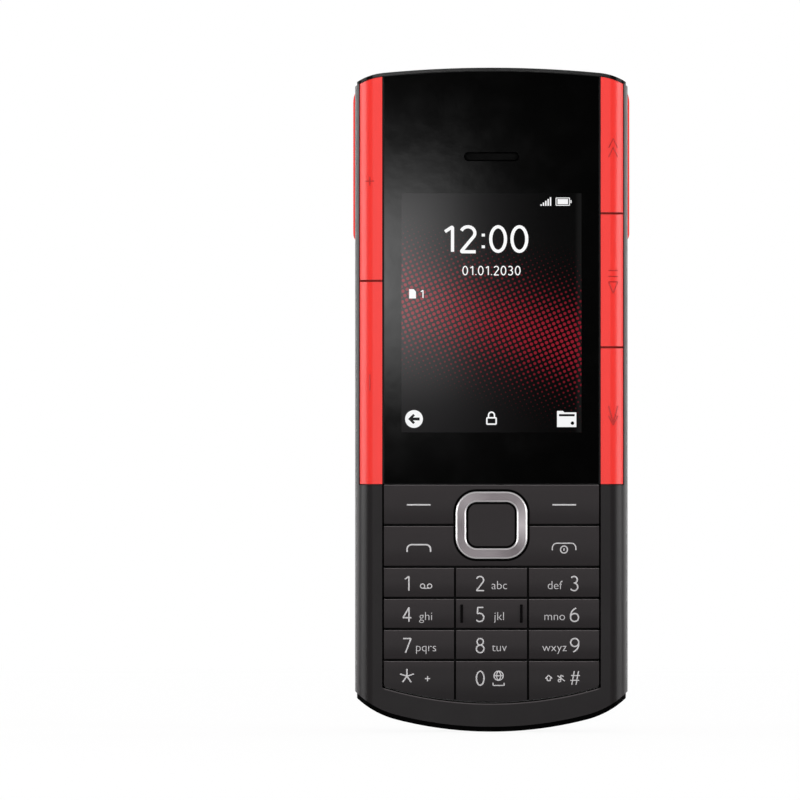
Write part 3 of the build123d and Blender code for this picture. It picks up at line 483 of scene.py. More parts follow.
# painted shade: the slope beside the cover is coloured a darker red
painted_slope_shade = beside.below(cover_side + 0.7, 0.8) * depth.above(SLOPE_DEPTH, 0.2)
painted_slope_shade = painted_slope_shade * z.above(10.0, 6.0) * z.below(cover_top - 0.6, 0.6)
paint_tone = body_paint.mix(painted_slope_shade, BODY_RED, light(150, 16, 13))
# painted shade: inner walls and the floor under the cover are coloured dark grey
painted_hidden_shade = inner_wall | under_cover
body_paint.feed("Base Color", body_paint.mix(painted_hidden_shade, paint_tone, light(12, 12, 12)))
dress(body_paint, "rear_frame")
print("paint reaches", round(cover_side + 1.5, 1), "mm from the middle")

# %% [markdown]
# ## The sliding cover
#
# The cover is a thin painted shell. Along its lower edge the shell turns in, and this lip faces down,
# so it is painted darker as painted shade. The two direction marks are grooves, and they are painted a
# darker red as painted shade in the grooves. The lower edge is an arc, so the lip is a band of the
# distance from that arc, and a band of depth near the middle finds the grooves.

# %% Sliding cover
LIP_BOW, LIP_HEIGHT = 203.0, 0.5  # radius of the cover's lower edge, and height of its lip
MARK_HALF, MARK_SHALLOW, MARK_DEEP = 4.4, 0.2, 0.6

slider_paint = painted("slider_paint", light(240, 40, 30), 0.36)
x, depth, z = slider_paint.axes()
slider_low, slider_high = (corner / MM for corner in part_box("slider_cover"))
from_edge = LIP_BOW - diagonal(x, z - (slider_low.z + LIP_BOW))
# painted shade in the grooves of the two direction marks
marks = depth.below(slider_high.y - MARK_SHALLOW, 0.12) * abs(x).below(MARK_HALF, 0.2)
marks = marks * depth.above(slider_high.y - MARK_DEEP)
cloud = slider_paint.noise(*PAINT_CLOUD)
slider_tone = slider_paint.mix(cloud, light(237, 39, 29), light(243, 41, 31))
slider_tone = slider_paint.mix(marks, slider_tone, light(186, 24, 19))
# painted shade on the lip, which faces down
slider_tone = slider_paint.mix(from_edge.below(LIP_HEIGHT, 0.4), slider_tone, light(146, 13, 10))
dress(slider_paint.feed("Base Color", slider_tone), "slider_cover")
print("sliding cover", round(slider_high.z - slider_low.z, 1), "mm high")

# %% [markdown]
# ## Keys
#
# Every keycap is moulded in the same satin charcoal as the face, a touch lighter and with a finer
# grain, so that a thumb slides and the print reads. The front of a cap is a shallow arch: its upper
# part leans back and is painted lighter, its lower part is painted darker, and the rounded upper edge
# gets a painted highlight as a pale line. All three are painted light that follows the slope, so the
# surface normal drives them. The skirts below the rim take no light, so they are painted as black as
# ink, a painted shade in the gaps between caps. The two ribs on the middle key sit in a groove painted
# black as painted shade, and they stand in front of the cap, so masks on depth find the skirts and
# the ribs. The caps drop away where they meet the ring, so a narrow band round it, measured from the
# ring's rounded outline, is painted dark too as painted shade, and so is the rim of the middle button.
# The foot of the keypad leans down most, so the lowest row is painted darker towards its lower edge,
# as painted shade.

# %% Keycaps
SKIRT_DEPTH, RIB_STAND = 0.46, 0.12  # behind and in front of the caps' faces
RIB_X, RIB_HALF = 6.1, (0.24, 1.82)  # place and half size of the grooves of the ribs
RING_CORNER, RING_SHADE = 4.3, 0.45
SELECT_CORNER = 1.9

key_plastic = moulded(
    "key_plastic",
    light(23, 20, 21),
    0.36,
    grain=0.1,
    depth=0.004,
    mottle=0.05,
    specular_ior_level=LOW_SHEEN,
)
x, depth, z = key_plastic.axes()
# painted light: caps lighter where they lean back, and a painted highlight on the upper edge
lean_back = key_plastic.facing("Z")
cap_painted_light = key_plastic.mix(lean_back.smooth(-0.2, 0.2) * 0.45, key_plastic.tone, light(36, 32, 33))
cap_painted_light = key_plastic.mix(lean_back.smooth(0.3, 0.6), cap_painted_light, light(84, 80, 81))
# painted shade: the lowest row darker towards its lower edge
low_row_shade = z.smooth(12.6, 14.2, 0.3, 0.0)
cap_painted_light = key_plastic.mix(low_row_shade, cap_painted_light, DEEP_BLACK)

cap_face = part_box("key_2")[0].y / MM
# painted shade: skirts, the ribs' groove, a band round the ring and the select key's rim go black
skirt_shade = depth.above(cap_face + SKIRT_DEPTH)
rib = depth.below(cap_face - RIB_STAND, 0.08)
groove_shade = abs(abs(x) - RIB_X).below(RIB_HALF[0], 0.06)
groove_shade = groove_shade * abs(z - front_outline("key_5")[0][1]).below(RIB_HALF[1], 0.08) * (1 - rib * 0.12)
from_ring = from_outline(key_plastic, *front_outline("nav_ring"), RING_CORNER)
ring_shade = from_ring.below(RING_SHADE) * from_ring.above(-0.2)
from_select = from_outline(key_plastic, *front_outline("select_key"), SELECT_CORNER)
select_rim_shade = from_select.above(-0.2, 0.08) * from_select.below(0.1, 0.05)
key_plastic.blacken(cap_painted_light, skirt_shade | groove_shade | ring_shade | select_rim_shade)
number_keys = [f"key_{i}" for i in "1 2 3 4 5 6 7 8 9 star 0 hash".split()]
dress(key_plastic, *number_keys, "soft_key_bar", "call_key_bar", "select_key")
print(len(number_keys), "number keys dressed")

# %% [markdown]
# ## The brushed ring
#
# The navigation ring is plastic with a metal skin, brushed round and round. The scratches turn with
# the ring, and the sheen they would throw is painted into the tone as a fan: it changes with the
# angle round the middle, in soft sectors. Its chamfered edges get a painted highlight, which a mask
# finds by the surface normal, which leans away from the front there.

# %% Ring metal
ring_metal = Finish("ring_metal", light(120, 115, 117), 0.36, metallic=1.0)
x, _, z = ring_metal.axes()
above_middle = z - front_outline("nav_ring")[0][1]
turn = above_middle.maths("ARCTAN2", x) * (0.5 / pi) + 0.5
scratches = ring_metal.node(
    "ShaderNodeTexNoise",
    {"noise_dimensions": "1D"},
    {"W": diagonal(x, above_middle), "Scale": 9.0, "Detail": 4.0},
).smooth(0.3, 0.7)
# painted sheen: grey tones that fan round the ring
sheen_sectors = [80, 96, 98, 70, 138, 90, 88, 110, 80]  # grey at every eighth of a turn, from -X
stops = [(i / 8, light(grey, grey - 5, grey - 3)) for i, grey in enumerate(sheen_sectors)]
painted_sheen_fan = ring_metal.node("ShaderNodeValToRGB", {"stops": stops}, [turn])
brushed = ring_metal.mix(scratches * 0.3, painted_sheen_fan, light(134, 129, 131))
# painted highlight on the chamfered edges
painted_edge_highlight = (ring_metal.facing("Y") * -1).below(0.9, 0.08)
ring_metal.feed("Base Color", ring_metal.mix(painted_edge_highlight, brushed, light(206, 203, 204)))
ring_metal.feed("Roughness", scratches.smooth(0.2, 0.8, 0.3, 0.42))
dress(ring_metal.relief(scratches, 0.002), "nav_ring")
print("ring tones:", len(sheen_sectors))

# %% [markdown]
# ## Steel and gold
#
# The domes, cans and screws are plain steel with straight streaks, and the contacts are gold plated.
# The charging socket has a black tongue inside its steel shell, with a row of gold contacts on it.
# The tongue is part of the socket's solid, so its place picks the finish there.

# %% Steel, gold and the charging socket
def metal(name, colour, roughness, stretch=(1, 1, 1)):
    """A bare metal. Stretch draws its scratches out into streaks along an axis."""
    finish = Finish(name, colour, roughness, metallic=1.0)
    streak = finish.noise(0.12, 3.0, stretch)
    finish.feed("Base Color", finish.mix(streak, shade(colour, 0.82), shade(colour, 1.12)))
    finish.feed("Roughness", streak.smooth(0.25, 0.75, roughness - 0.06, roughness + 0.08))
    return finish.relief(streak, 0.003)


TONGUE_HALF, TONGUE_OFFSET, CONTACT_PITCH = (2.33, 0.33), 0.3, 0.65
steel = metal("steel", light(178, 178, 180), 0.32, (1, 1, 12))
dress(steel, "shield_cans", "sim_holder", "dome_sheet", "vibration_motor")
dress(steel, "microphone", "frame_screws")
dress(metal("gold", light(222, 178, 92), 0.28, (6, 1, 1)), "charging_pins", "battery_contacts")

socket_steel = metal("socket_steel", light(168, 168, 170), 0.3, (12, 1, 1))
x, depth, _ = socket_steel.axes()
socket_low, socket_high = (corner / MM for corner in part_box("usb_socket"))
in_tongue = depth - ((socket_low.y + socket_high.y) / 2 - TONGUE_OFFSET)
tongue = abs(x).below(TONGUE_HALF[0], 0.05) * abs(in_tongue).below(TONGUE_HALF[1], 0.05)
contacts = (x * (2 * pi / CONTACT_PITCH)).maths("COSINE").smooth(0.1, 0.3)
contacts = contacts * in_tongue.above(0.24, 0.04)
streak = socket_steel.noise(0.12, 3.0, (12, 1, 1))
shell_tone = socket_steel.mix(streak, light(150, 150, 152), light(186, 186, 188))
tongue_tone = socket_steel.mix(contacts, light(12, 12, 12), light(214, 170, 84))
socket_steel.feed("Base Color", socket_steel.mix(tongue, shell_tone, tongue_tone))
socket_steel.feed("Metallic", 1 - tongue * (1 - contacts))
dress(socket_steel, "usb_socket")
print("socket tongue", 2 * TONGUE_HALF[0], "mm wide")

# %% [markdown]
# ## Grilles
#
# The earpiece and the loudspeakers sit behind a woven steel mesh, painted black. At this size the
# weave is drawn rather than built: two sets of waves make the wires, and where they cross the gap
# stays dark. The height of the wires goes to the relief, the gaps to the colour. Along its rim the
# mesh dips under the shell round it, and the distance from the opening's outline paints shade there.

# %% Speaker mesh
WIRE_PITCH = 0.42


def woven(name, wire_colour, rim, sheen):
    """A painted mesh. Rim is a function that gives the distance outwards from its edge, where shade is
    painted.
    """
    finish = Finish(name, wire_colour, 0.5, specular_ior_level=sheen)
    x, _, z = finish.axes()
    across, up = ((place * (2 * pi / WIRE_PITCH)).maths("SINE") for place in (x, z))
    weave = abs(across * up).smooth(0.05, 0.7)
    # painted shade along the rim
    finish.blacken(finish.mix(weave, wire_colour, light(1, 1, 1)), rim(finish).above(-0.3, 0.12))
    return finish.relief(1 - weave, 0.06)


def from_earpiece(finish):
    """Distance in millimetres outwards from the earpiece, whose ends are half circles."""
    middle, half = front_outline("earpiece_mesh")
    return from_outline(finish, middle, half, half[1])


dress(woven("mesh_charcoal", light(46, 44, 45), from_slots, 0.1), "speaker_meshes")
dress(woven("mesh_black", light(9, 9, 9), from_earpiece, 0.02), "earpiece_mesh")
print("mesh pitch", WIRE_PITCH, "mm")

# %% [markdown]
# ## Inner parts
#
# The parts inside only show when the phone is taken apart, but they still get the finish that tells
# what they are: a green board with its copper tracks under the solder mask, an amber flex, a display
# module with a silvery back, and a battery wrapped in dark film. The board under the keypad is
# painted near black as painted shade, so that its green doesn't show between the keys.

# %% Board, flex, display module and battery
KEY_SHADE_TOP = 50.8
board_green = Finish("board_green", light(18, 92, 56), 0.35)
x, depth, z = board_green.axes()
tracks = ((z + board_green.noise(6.0) * 4) * 2.4).maths("SINE") * (x * 2.4).maths("SINE")
copper = tracks.smooth(0.1, 0.3)
board_tone = board_green.mix(copper, light(14, 80, 48), light(40, 122, 78))
# painted shade: the board under the keypad is coloured near black
film = depth.below(-3.86, 0.06) * z.below(KEY_SHADE_TOP, 0.2)
board_green.feed("Base Color", board_green.mix(film, board_tone, light(8, 8, 8)))
dress(board_green.relief(copper, 0.02), "main_board")

dress(polished("flex_amber", light(170, 92, 28), 0.3), "side_key_flex")
dress(metal("display_back", light(150, 152, 156), 0.25, (14, 1, 1)), "lcd_panel")
dress(polished("battery_wrap", light(34, 34, 37), 0.34, coat_weight=0.3), "battery")
print("finishes so far:", len(finishes))

# %% [markdown]
# ## Camera lens and flash
#
# A lens looks dark because light goes in and little returns, and what does return is tinted blue and
# green by its coating. The tint changes from the middle to the rim, so the colour is driven by the
# distance from the lens axis. Off the axis a pale crescent is a painted reflection and a bright point
# is a painted glint. The flash is a milky plastic lens over a yellowish emitter.

# %% Lens glass and flash
def distance_from(finish, x_place, z_place):
    """Distance in millimetres from a line that runs from front to back."""
    x, _, z = finish.axes()
    return diagonal(x - x_place, z - z_place)


lens_barrel = moulded(
    "lens_barrel", light(5, 14, 16), 0.4, grain=0.08, depth=0.002, specular_ior_level=0.06
)
dress(lens_barrel, "camera_module")

lens_glass = Finish(
    "lens_glass",
    light(6, 12, 16),
    0.1,
    coat_weight=0.08,
    coat_roughness=0.03,
    specular_ior_level=0.06,
)
TINT_REACH = 2.0  # the last tint lies this far from the lens axis
lens_tints = [  # share of that distance, and tint
    (0.0, light(18, 52, 140)),
    (0.3, light(10, 30, 104)),
    (0.42, light(6, 22, 40)),
    (0.52, light(2, 6, 9)),
    (0.72, light(10, 34, 42)),
    (1.0, light(4, 10, 12)),
]
CRESCENT_SHIFT, POINT_SHIFT = (-0.28, 0.26), (-0.34, 0.3)
radius = distance_from(lens_glass, 0, camera_z)
coating = lens_glass.node("ShaderNodeValToRGB", {"stops": lens_tints}, [radius * (1 / TINT_REACH)])
# painted reflection and painted glint, off the lens axis
off_middle = distance_from(lens_glass, CRESCENT_SHIFT[0], camera_z + CRESCENT_SHIFT[1])
painted_crescent_reflection = radius.below(0.7, 0.2) * off_middle.smooth(0.6, 0.86)
from_point = distance_from(lens_glass, POINT_SHIFT[0], camera_z + POINT_SHIFT[1])
painted_glint = from_point.below(0.12, 0.18)
glass_tone = lens_glass.mix(painted_crescent_reflection, coating, light(96, 196, 222))
lens_glass.feed("Base Color", lens_glass.mix(painted_glint, glass_tone, light(214, 226, 246)))
lens_glass.relief(lens_glass.noise(0.8), 0.001)

flash_milk = Finish("flash_milk", light(214, 210, 200), 0.25, coat_weight=0.6)
flash_radius = distance_from(flash_milk, front_outline("flash_lens")[0][0], camera_z)
emitter = flash_radius.smooth(0.5, 1.0)
flash_milk.feed("Base Color", flash_milk.mix(emitter, light(232, 206, 120), light(216, 213, 205)))
facets = (flash_radius * (2 * pi / 0.45)).maths("SINE")
dress(flash_milk.relief(facets * 0.5 + 0.5, 0.04), "flash_lens")
print("lens tints:", len(lens_tints))

# %% [markdown]
# ## Turned pieces
#
# A lens, its ring and the touch disc of an earbud are round, and so half of an outline turned round
# its axis gives the whole piece. The outline is a few points, each a radius and a depth. After a full
# turn the first and the last row of points lie on each other and are merged, and so are the points on
# the axis. A bevel could round a disc too, but the dome of a lens is an arc, and only a turned
# outline gives it.

# %% Turn an outline round its axis
def mesh_from(bm, name):
    """Writes a bmesh to a new mesh and frees it."""
    mesh = bpy.data.meshes.new(name)
    bm.to_mesh(mesh)
    bm.free()
    return mesh


def turned(name, outline, x, z, ring=False, steps=48):
    """A mesh from (radius, depth) points in millimetres, turned round a line from front to back."""
    bm = bmesh.new()
    points = [bm.verts.new((x + radius, depth, z)) for radius, depth in outline]
    pairs = list(zip(points, points[1:])) + ([(points[-1], points[0])] if ring else [])
    geom = points + [bm.edges.new(pair) for pair in pairs]
    bmesh.ops.spin(
        bm, geom=geom, cent=(x, 0, z), axis=(0, 1, 0), angle=2 * pi, steps=steps, use_merge=True
    )
    bmesh.ops.remove_doubles(bm, verts=bm.verts, dist=0.001)
    bmesh.ops.recalc_face_normals(bm, faces=bm.faces)
    bmesh.ops.scale(bm, vec=(MM, MM, MM), verts=bm.verts)
    for face in bm.faces:
        face.smooth = True
    return mesh_from(bm, name)


def piece(name, meshes, body, finish):
    """Joins meshes into one object that rides on a body of the phone."""
    joined = bmesh.new()
    for mesh in meshes:
        joined.from_mesh(mesh)
        bpy.data.meshes.remove(mesh)
    made = bpy.data.objects.new(name, mesh_from(joined, name))
    scene.collection.objects.link(made)
    made.data.materials.append(finish.material)
    for face in made.data.polygons:
        face.material_index = 0
    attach(made, body)
    return made


print("turning ready")

# %% Lens dome and ring
LENS_REACH, LENS_BASE, LENS_EDGE, LENS_APEX = 1.8, 5.12, 5.18, 5.39
RING_IN, RING_OUT, RING_BASE, RING_WALL, RING_TOP = 1.84, 2.1, 5.3, 5.42, 5.46
CHAMFER = 0.06

dome = [(0, LENS_BASE), (LENS_REACH, LENS_BASE)]
for degrees in (7.5 * step for step in range(12)):
    rise = (LENS_APEX - LENS_EDGE) * sin(radians(degrees))
    dome.append((LENS_REACH * cos(radians(degrees)), LENS_EDGE + rise))
dome_mesh = turned("dome", dome + [(0, LENS_APEX)], 0, camera_z)
piece("lens_dome", [dome_mesh], "handset", lens_glass)
ring_outline = [(RING_IN, RING_BASE), (RING_OUT, RING_BASE), (RING_OUT, RING_WALL)]
ring_outline += [(RING_OUT - CHAMFER, RING_TOP), (RING_IN + CHAMFER, RING_TOP), (RING_IN, RING_WALL)]
lens_ring = metal("lens_ring", light(28, 38, 40), 0.3)
ring_mesh = turned("ring", ring_outline, 0, camera_z, ring=True)
piece("lens_ring", [ring_mesh], "handset", lens_ring)
print("lens dome", 2 * LENS_REACH, "mm wide,", round(LENS_APEX - LENS_BASE, 2), "mm high")

# %% [markdown]
# ## Drawing with strokes
#
# The signs on the keys and the marks on the side keys are thin lines of even width. A curve with a
# round bevel is such a line: it takes a list of points and a width. The curve is then made a mesh,
# stood upright to face the front, and pressed nearly flat, so that it becomes a film of ink or a low
# raised line. In these drawings a list of points is an open line, and a tuple of points closes.

# %% Strokes from points
def upright(drawing, squeeze=1.0):
    """Makes a mesh of a curve or text in the XY plane and stands it up, front towards -Y."""
    holder = bpy.data.objects.new(drawing.name, drawing)
    scene.collection.objects.link(holder)
    bpy.context.view_layer.update()
    settled = holder.evaluated_get(bpy.context.evaluated_depsgraph_get())
    mesh = bpy.data.meshes.new_from_object(settled)
    bpy.data.objects.remove(holder)
    mesh.transform(Matrix.Diagonal((MM, MM * squeeze, MM, 1)) @ Matrix.Rotation(radians(90), 4, "X"))
    return mesh


def add_line(curve, points, closed):
    """Adds a line of (x, z) points to a curve that still lies in the XY plane."""
    spline = curve.splines.new("POLY")
    spline.points.add(len(points) - 1)
    for point, (x, z) in zip(spline.points, points):
        point.co = (x, z, 0, 1)
    spline.use_cyclic_u = closed


def bent(points, closed, reach):
    """Turns sharp corners into short bends, because a round bevel grows thin at a sharp corner."""
    eased = []
    for i, corner in enumerate(points):
        here, before, after = (Vector(points[j % len(points)]) for j in (i, i - 1, i + 1))
        sides = before - here, after - here
        at_end = not closed and i in (0, len(points) - 1)
        if at_end or sides[0].angle(sides[1], pi) > radians(145):
            eased.append(corner)
            continue
        start, end = (here + side.normalized() * min(reach, side.length / 2) for side in sides)
        for share in (0.0, 0.25, 0.5, 0.75, 1.0):
            eased.append(tuple(start.lerp(here, share).lerp(here.lerp(end, share), share)))
    return eased


def strokes(name, lines, width, squeeze=0.1):
    """Lines of one width, in millimetres, each a list or a tuple of (x, z) points."""
    curve = bpy.data.curves.new(name, "CURVE")
    curve.dimensions = "3D"
    curve.bevel_depth, curve.bevel_resolution, curve.use_fill_caps = width / 2, 2, True
    for line in lines:
        closed = isinstance(line, tuple)
        add_line(curve, bent(line, closed, width / 2), closed)
    return upright(curve, squeeze)


def cut_out(name, outlines, thickness=0.02):
    """A thin flat shape. An outline inside another one is a hole."""
    curve = bpy.data.curves.new(name, "CURVE")
    curve.dimensions, curve.fill_mode, curve.extrude = "2D", "BOTH", thickness / 2
    for outline in outlines:
        add_line(curve, outline, True)
    return upright(curve)


def arc(x, z, radius, start, end, steps=8, tall=1.0):
    """Points on an arc, with angles in degrees counted from +X towards +Z. Tall stretches it in Z."""
    turns = [radians(start + (end - start) * i / steps) for i in range(steps + 1)]
    return [(x + radius * cos(a), z + radius * tall * sin(a)) for a in turns]


print("an arc has", len(arc(0, 0, 1, 0, 90)), "points")

# %% [markdown]
# ## Numbers
#
# Phone numbers are drawn thin and plain: lines of one width with open round bowls. A font's outline
# would be too heavy at this size, so each digit is a few strokes in a box one high. The same digits
# serve the keys, the clock and the date, and only the height and the width of the line change.

# %% Digits as strokes
BOX = 0.57  # width of a digit, as a share of its height
six_stem = arc(0.62, 0.40, 0.62, 112, 180, 8, tall=0.94)
six_bowl = arc(0.28, 0.29, 0.28, 180, -180, 20)
digits = {
    "0": [arc(0.28, 0.5, 0.265, 0, 360, 24, tall=1.83)],
    "1": [[(0.06, 0.79), (0.33, 0.985), (0.33, 0)]],
    "2": [arc(0.27, 0.735, 0.25, 158, -28, 10) + [(0.02, 0.0), (0.55, 0.0)]],
    "3": [arc(0.24, 0.755, 0.23, 145, -90, 10) + arc(0.24, 0.26, 0.265, 90, -150, 12)],
    "4": [[(0.41, 0), (0.41, 0.985), (0.0, 0.27), (0.58, 0.27)]],
    "5": [[(0.5, 0.985), (0.11, 0.985), (0.085, 0.56)] + arc(0.24, 0.295, 0.29, 112, -142, 12)],
    "6": [six_stem, six_bowl],
    "7": [[(0.0, 0.985), (0.55, 0.985), (0.17, 0)]],
    "8": [arc(0.28, 0.76, 0.215, -90, 270, 18, tall=1.05), arc(0.28, 0.265, 0.265, 90, 450, 20)],
    "9": [[(BOX - x, 1 - z) for x, z in line] for line in (six_stem, six_bowl)],
    "#": [
        [(0.1, 0.02), (0.28, 0.98)],
        [(0.4, 0.02), (0.58, 0.98)],
        [(0.0, 0.33), (0.62, 0.33)],
        [(0.05, 0.67), (0.67, 0.67)],
    ],
    ".": [[(0.03, 0.0), (0.03, 0.1)]],
    ":": [[(0.06, 0.14), (0.06, 0.25)], [(0.06, 0.6), (0.06, 0.71)]],
}
widths = {".": 0.06, ":": 0.12, "1": 0.42}  # signs that take less room than the box


def number(name, text, x_place, base, height, line_width, squeeze=0.1, spacing=0.17, wide=1.0):
    """A row of digits round x_place, with its feet at base and its height in millimetres."""
    lines, pen = [], 0.0
    for sign in text:
        for points in digits[sign]:
            lines.append([((pen + x) * height * wide, base + z * height) for x, z in points])
        pen += widths.get(sign, BOX) + spacing
    shift = x_place - (pen - spacing) * height * wide / 2
    placed = [[(x + shift, z) for x, z in points] for points in lines]
    return strokes(name, placed, line_width, squeeze)


print("digits drawn:", "".join(digits))

# %% [markdown]
# ## Letters
#
# The small letters come from a text object with the built-in font, because they are too many to draw
# by hand. Its outline is drawn in by a small offset, which makes the strokes as thin as those of the
# digits. A flat letter has vertices only round its rim, and it could not follow the arch of a key, so
# it is sliced into level strips that bend with the surface.

# %% Text as mesh
CAP_SHARE = 0.73  # height of a capital in the built-in font, as a share of its size
STRIP = 0.4


def written(name, text, x, z, height, thin):
    """Text with capitals of this height in millimetres, its baseline at z."""
    words = bpy.data.curves.new(name, "FONT")
    words.body, words.size = text, height / CAP_SHARE
    words.align_x, words.offset, words.resolution_u = "CENTER", -thin, 4
    mesh = upright(words)
    mesh.transform(Matrix.Translation((x * MM, 0, z * MM)))
    return mesh


def drape(made, node, stand_out):
    """Slices a drawing into level strips and lays it on the front of a solid part."""
    bm = bmesh.new()
    bm.from_mesh(made.data)
    heights = [v.co.z for v in bm.verts]
    level, top = min(heights) + STRIP * MM, max(heights)
    while level < top:
        everything = bm.verts[:] + bm.edges[:] + bm.faces[:]
        bmesh.ops.bisect_plane(bm, geom=everything, plane_co=(0, 0, level), plane_no=(0, 0, 1))
        level += STRIP * MM
    skin = nodes[node].data
    tree = BVHTree.FromPolygons([v.co for v in skin.vertices], [p.vertices for p in skin.polygons])
    for vertex in bm.verts:
        hit = tree.ray_cast(Vector((vertex.co.x, -0.1, vertex.co.z)), Vector((0, 1, 0)))[0]
        vertex.co.y += hit.y - stand_out * MM
    bm.to_mesh(made.data)
    bm.free()


print("capitals are", CAP_SHARE, "of the text size")

# %% [markdown]
# ## Earbuds in their tray
#
# The back of each earbud is a touch surface: a glossy disc let into the shell, with a thin metal ring
# round it and a small light near its lower edge. The letter says which ear it is for. Disc, ring and
# light are turned. The letter is a flat text mesh, half turned so that it reads from behind.

# %% Touch discs, rings, lights and letters
ink = Finish("legend_ink", light(154, 152, 153), 0.5)
ink.feed("Base Color", ink.mix(ink.noise(0.3, 2.0), light(148, 146, 147), light(160, 158, 159)))
ink.relief(ink.noise(0.1), 0.003)
touch_gloss = polished("touch_gloss", light(12, 12, 13), 0.16, specular_ior_level=0.3)
light_pipe = polished("light_pipe", light(196, 200, 202), 0.3)
touch_steel = metal("touch_steel", light(190, 188, 186), 0.28)
DISC, STAND, LAMP_DROP = 4.25, 0.12, 2.9  # disc radius, its rise, and the lamp's way down
for ear, letter in (("left", "L"), ("right", "R")):
    bud_low, bud_high = (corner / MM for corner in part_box(f"earbud_{ear}"))
    bud_x, bud_z = (bud_low.x + bud_high.x) / 2, bud_low.z + (bud_high.x - bud_low.x) / 2
    rim, face = bud_high.y - 0.1, bud_high.y + STAND
    disc = [(0, rim), (DISC, rim), (DISC, face - 0.08), (DISC - 0.1, face - 0.02)]
    disc = turned("disc", disc + [(DISC * 0.6, face - 0.03), (0, face - 0.05)], bud_x, bud_z)
    piece(f"touch_disc_{ear}", [disc], "handset", touch_gloss)
    ring = [(DISC + 0.02, rim), (DISC + 0.26, rim), (DISC + 0.26, face - 0.06)]
    ring += [(DISC + 0.2, face), (DISC + 0.08, face), (DISC + 0.02, face - 0.06)]
    ring = turned("ring", ring, bud_x, bud_z, ring=True)
    piece(f"touch_ring_{ear}", [ring], "handset", touch_steel)
    lamp = [(0, rim), (0.28, rim), (0.28, face - 0.02), (0.2, face + 0.03), (0, face + 0.05)]
    lamp = turned("lamp", lamp, bud_x, bud_z - LAMP_DROP, steps=24)
    piece(f"charge_light_{ear}", [lamp], "handset", light_pipe)
    mark = written("letter", letter, -bud_x, bud_z + 1.6, 1.2, 0.02)
    mark.transform(Matrix.Translation((0, (face - 0.01) * MM, 0)) @ Matrix.Rotation(pi, 4, "Z"))
    piece(f"ear_letter_{ear}", [mark], "handset", ink)
print("earbud discs", 2 * DISC, "mm wide")

# %% [markdown]
# ## Screw heads
#
# Two screws beside the tray show when the cover is down. Each head has a cross recess, which the
# solids leave out because it is smaller than a millimetre. A dark cross as thin as a hair stands for
# the recess as painted shade, and its outline has one arm drawn four times.

# %% Cross recesses
SCREW_X, SCREW_RISE = 22.9, 1.25
ARM, ARM_HALF, CROSS_TURN = 0.78, 0.15, 20
# painted shade: a dark cross stands for each recess
recess_painted_shade = moulded("recess_painted_shade", light(10, 10, 10), 0.6)
screws_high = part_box("frame_screws")[1] / MM
screw_z = screws_high.z - SCREW_RISE
for side in (-1, 1):
    cross = []
    for quarter in range(4):
        turn_by = Matrix.Rotation(radians(90 * quarter + CROSS_TURN), 2)
        for corner in ((ARM, -ARM_HALF), (ARM, ARM_HALF), (ARM_HALF, ARM_HALF)):
            spot = turn_by @ Vector(corner)
            cross.append((side * SCREW_X + spot.x, screw_z + spot.y))
    recess = cut_out("cross", [cross], 0.03)
    recess.transform(Matrix.Translation((0, (screws_high.y + 0.01) * MM, 0)))
    piece(f"screw_cross_{side}", [recess], "handset", recess_painted_shade)
print("screw crosses at height", round(screw_z, 2))

# %% [markdown]
# ## The print on the keys
#
# Numbers come with small letters beside them, as on any phone keypad. The ink is a warm light grey,
# slightly rough, and its film is a few hundredths of a millimetre thick, so each legend is a piece
# of its own that travels with its key. Left and middle keys put the number first and right-hand keys
# put it last, which keeps the numbers in straight columns. Places are in millimetres from the
# phone's middle line and from its foot.

# %% Key legends
DIGIT_X = (-17.25, -2.3, 17.0)
LETTER_X = (-13.4, 1.6, 12.9)
DIGIT_DROP, DIGIT_HEIGHT = 4.6, 2.95  # from the key's upper edge down to the digit's foot
REEL_X, REEL_RADIUS, REEL_RISE = (-14.1, -12.66), 0.44, 0.93
INK_RISE, INK_LINE = 0.012, 0.29
letters = {2: "abc", 3: "def", 4: "ghi", 5: "jkl", 6: "mno", 7: "pqrs", 8: "tuv", 9: "wxyz"}


def legend(name, node, *drawings):
    """Ink on one key, bent to the arch of its cap."""
    drape(piece(f"legend_{name}", drawings, node, ink), node, INK_RISE)


def key_top(node):
    """Height of a key's upper edge in millimetres."""
    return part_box(node)[1].z / MM


for digit in range(1, 10):
    column, base = (digit - 1) % 3, key_top(f"key_{digit}") - DIGIT_DROP
    if digit in letters:
        beside_digit = written("letters", letters[digit], LETTER_X[column], base + 0.3, 1.8, 0.032)
    else:
        reels = [arc(x, base + REEL_RISE, REEL_RADIUS, 0, 360, 20) for x in REEL_X]
        tape = [(x, base + REEL_RISE - REEL_RADIUS) for x in REEL_X]
        beside_digit = strokes("reels", reels + [tape], 0.2)
    drawn = number("digit", str(digit), DIGIT_X[column], base, DIGIT_HEIGHT, INK_LINE)
    legend(digit, f"key_{digit}", drawn, beside_digit)
print("nine legends, digits", DIGIT_HEIGHT, "mm tall")

# %% Signs on the lowest row of keys
low_base = key_top("key_0") - 4.95
star = [[(-17.3, 11.35), arc(-17.3, 11.35, 1.5, a, a + 1)[0]] for a in range(90, 450, 72)]
plus = [[(-13.6, 10.85), (-12.55, 10.85)], [(-13.08, 10.32), (-13.08, 11.38)]]
legend("star", "key_star", strokes("star", star, 0.28), strokes("plus", plus, 0.22))

zero = number("digit", "0", DIGIT_X[1], low_base, DIGIT_HEIGHT, INK_LINE)
globe = [
    arc(1.45, 11.45, 0.95, 0, 360, 24),
    [(0.5, 11.45), (2.4, 11.45)],
    arc(0.62, 11.45, 1.26, -48, 48),
    arc(2.28, 11.45, 1.26, 132, 228),
    [(0.32, 10.0), (0.32, 9.45), (2.58, 9.45), (2.58, 10.0)],
]
legend("0", "key_0", zero, strokes("globe", globe, 0.22))

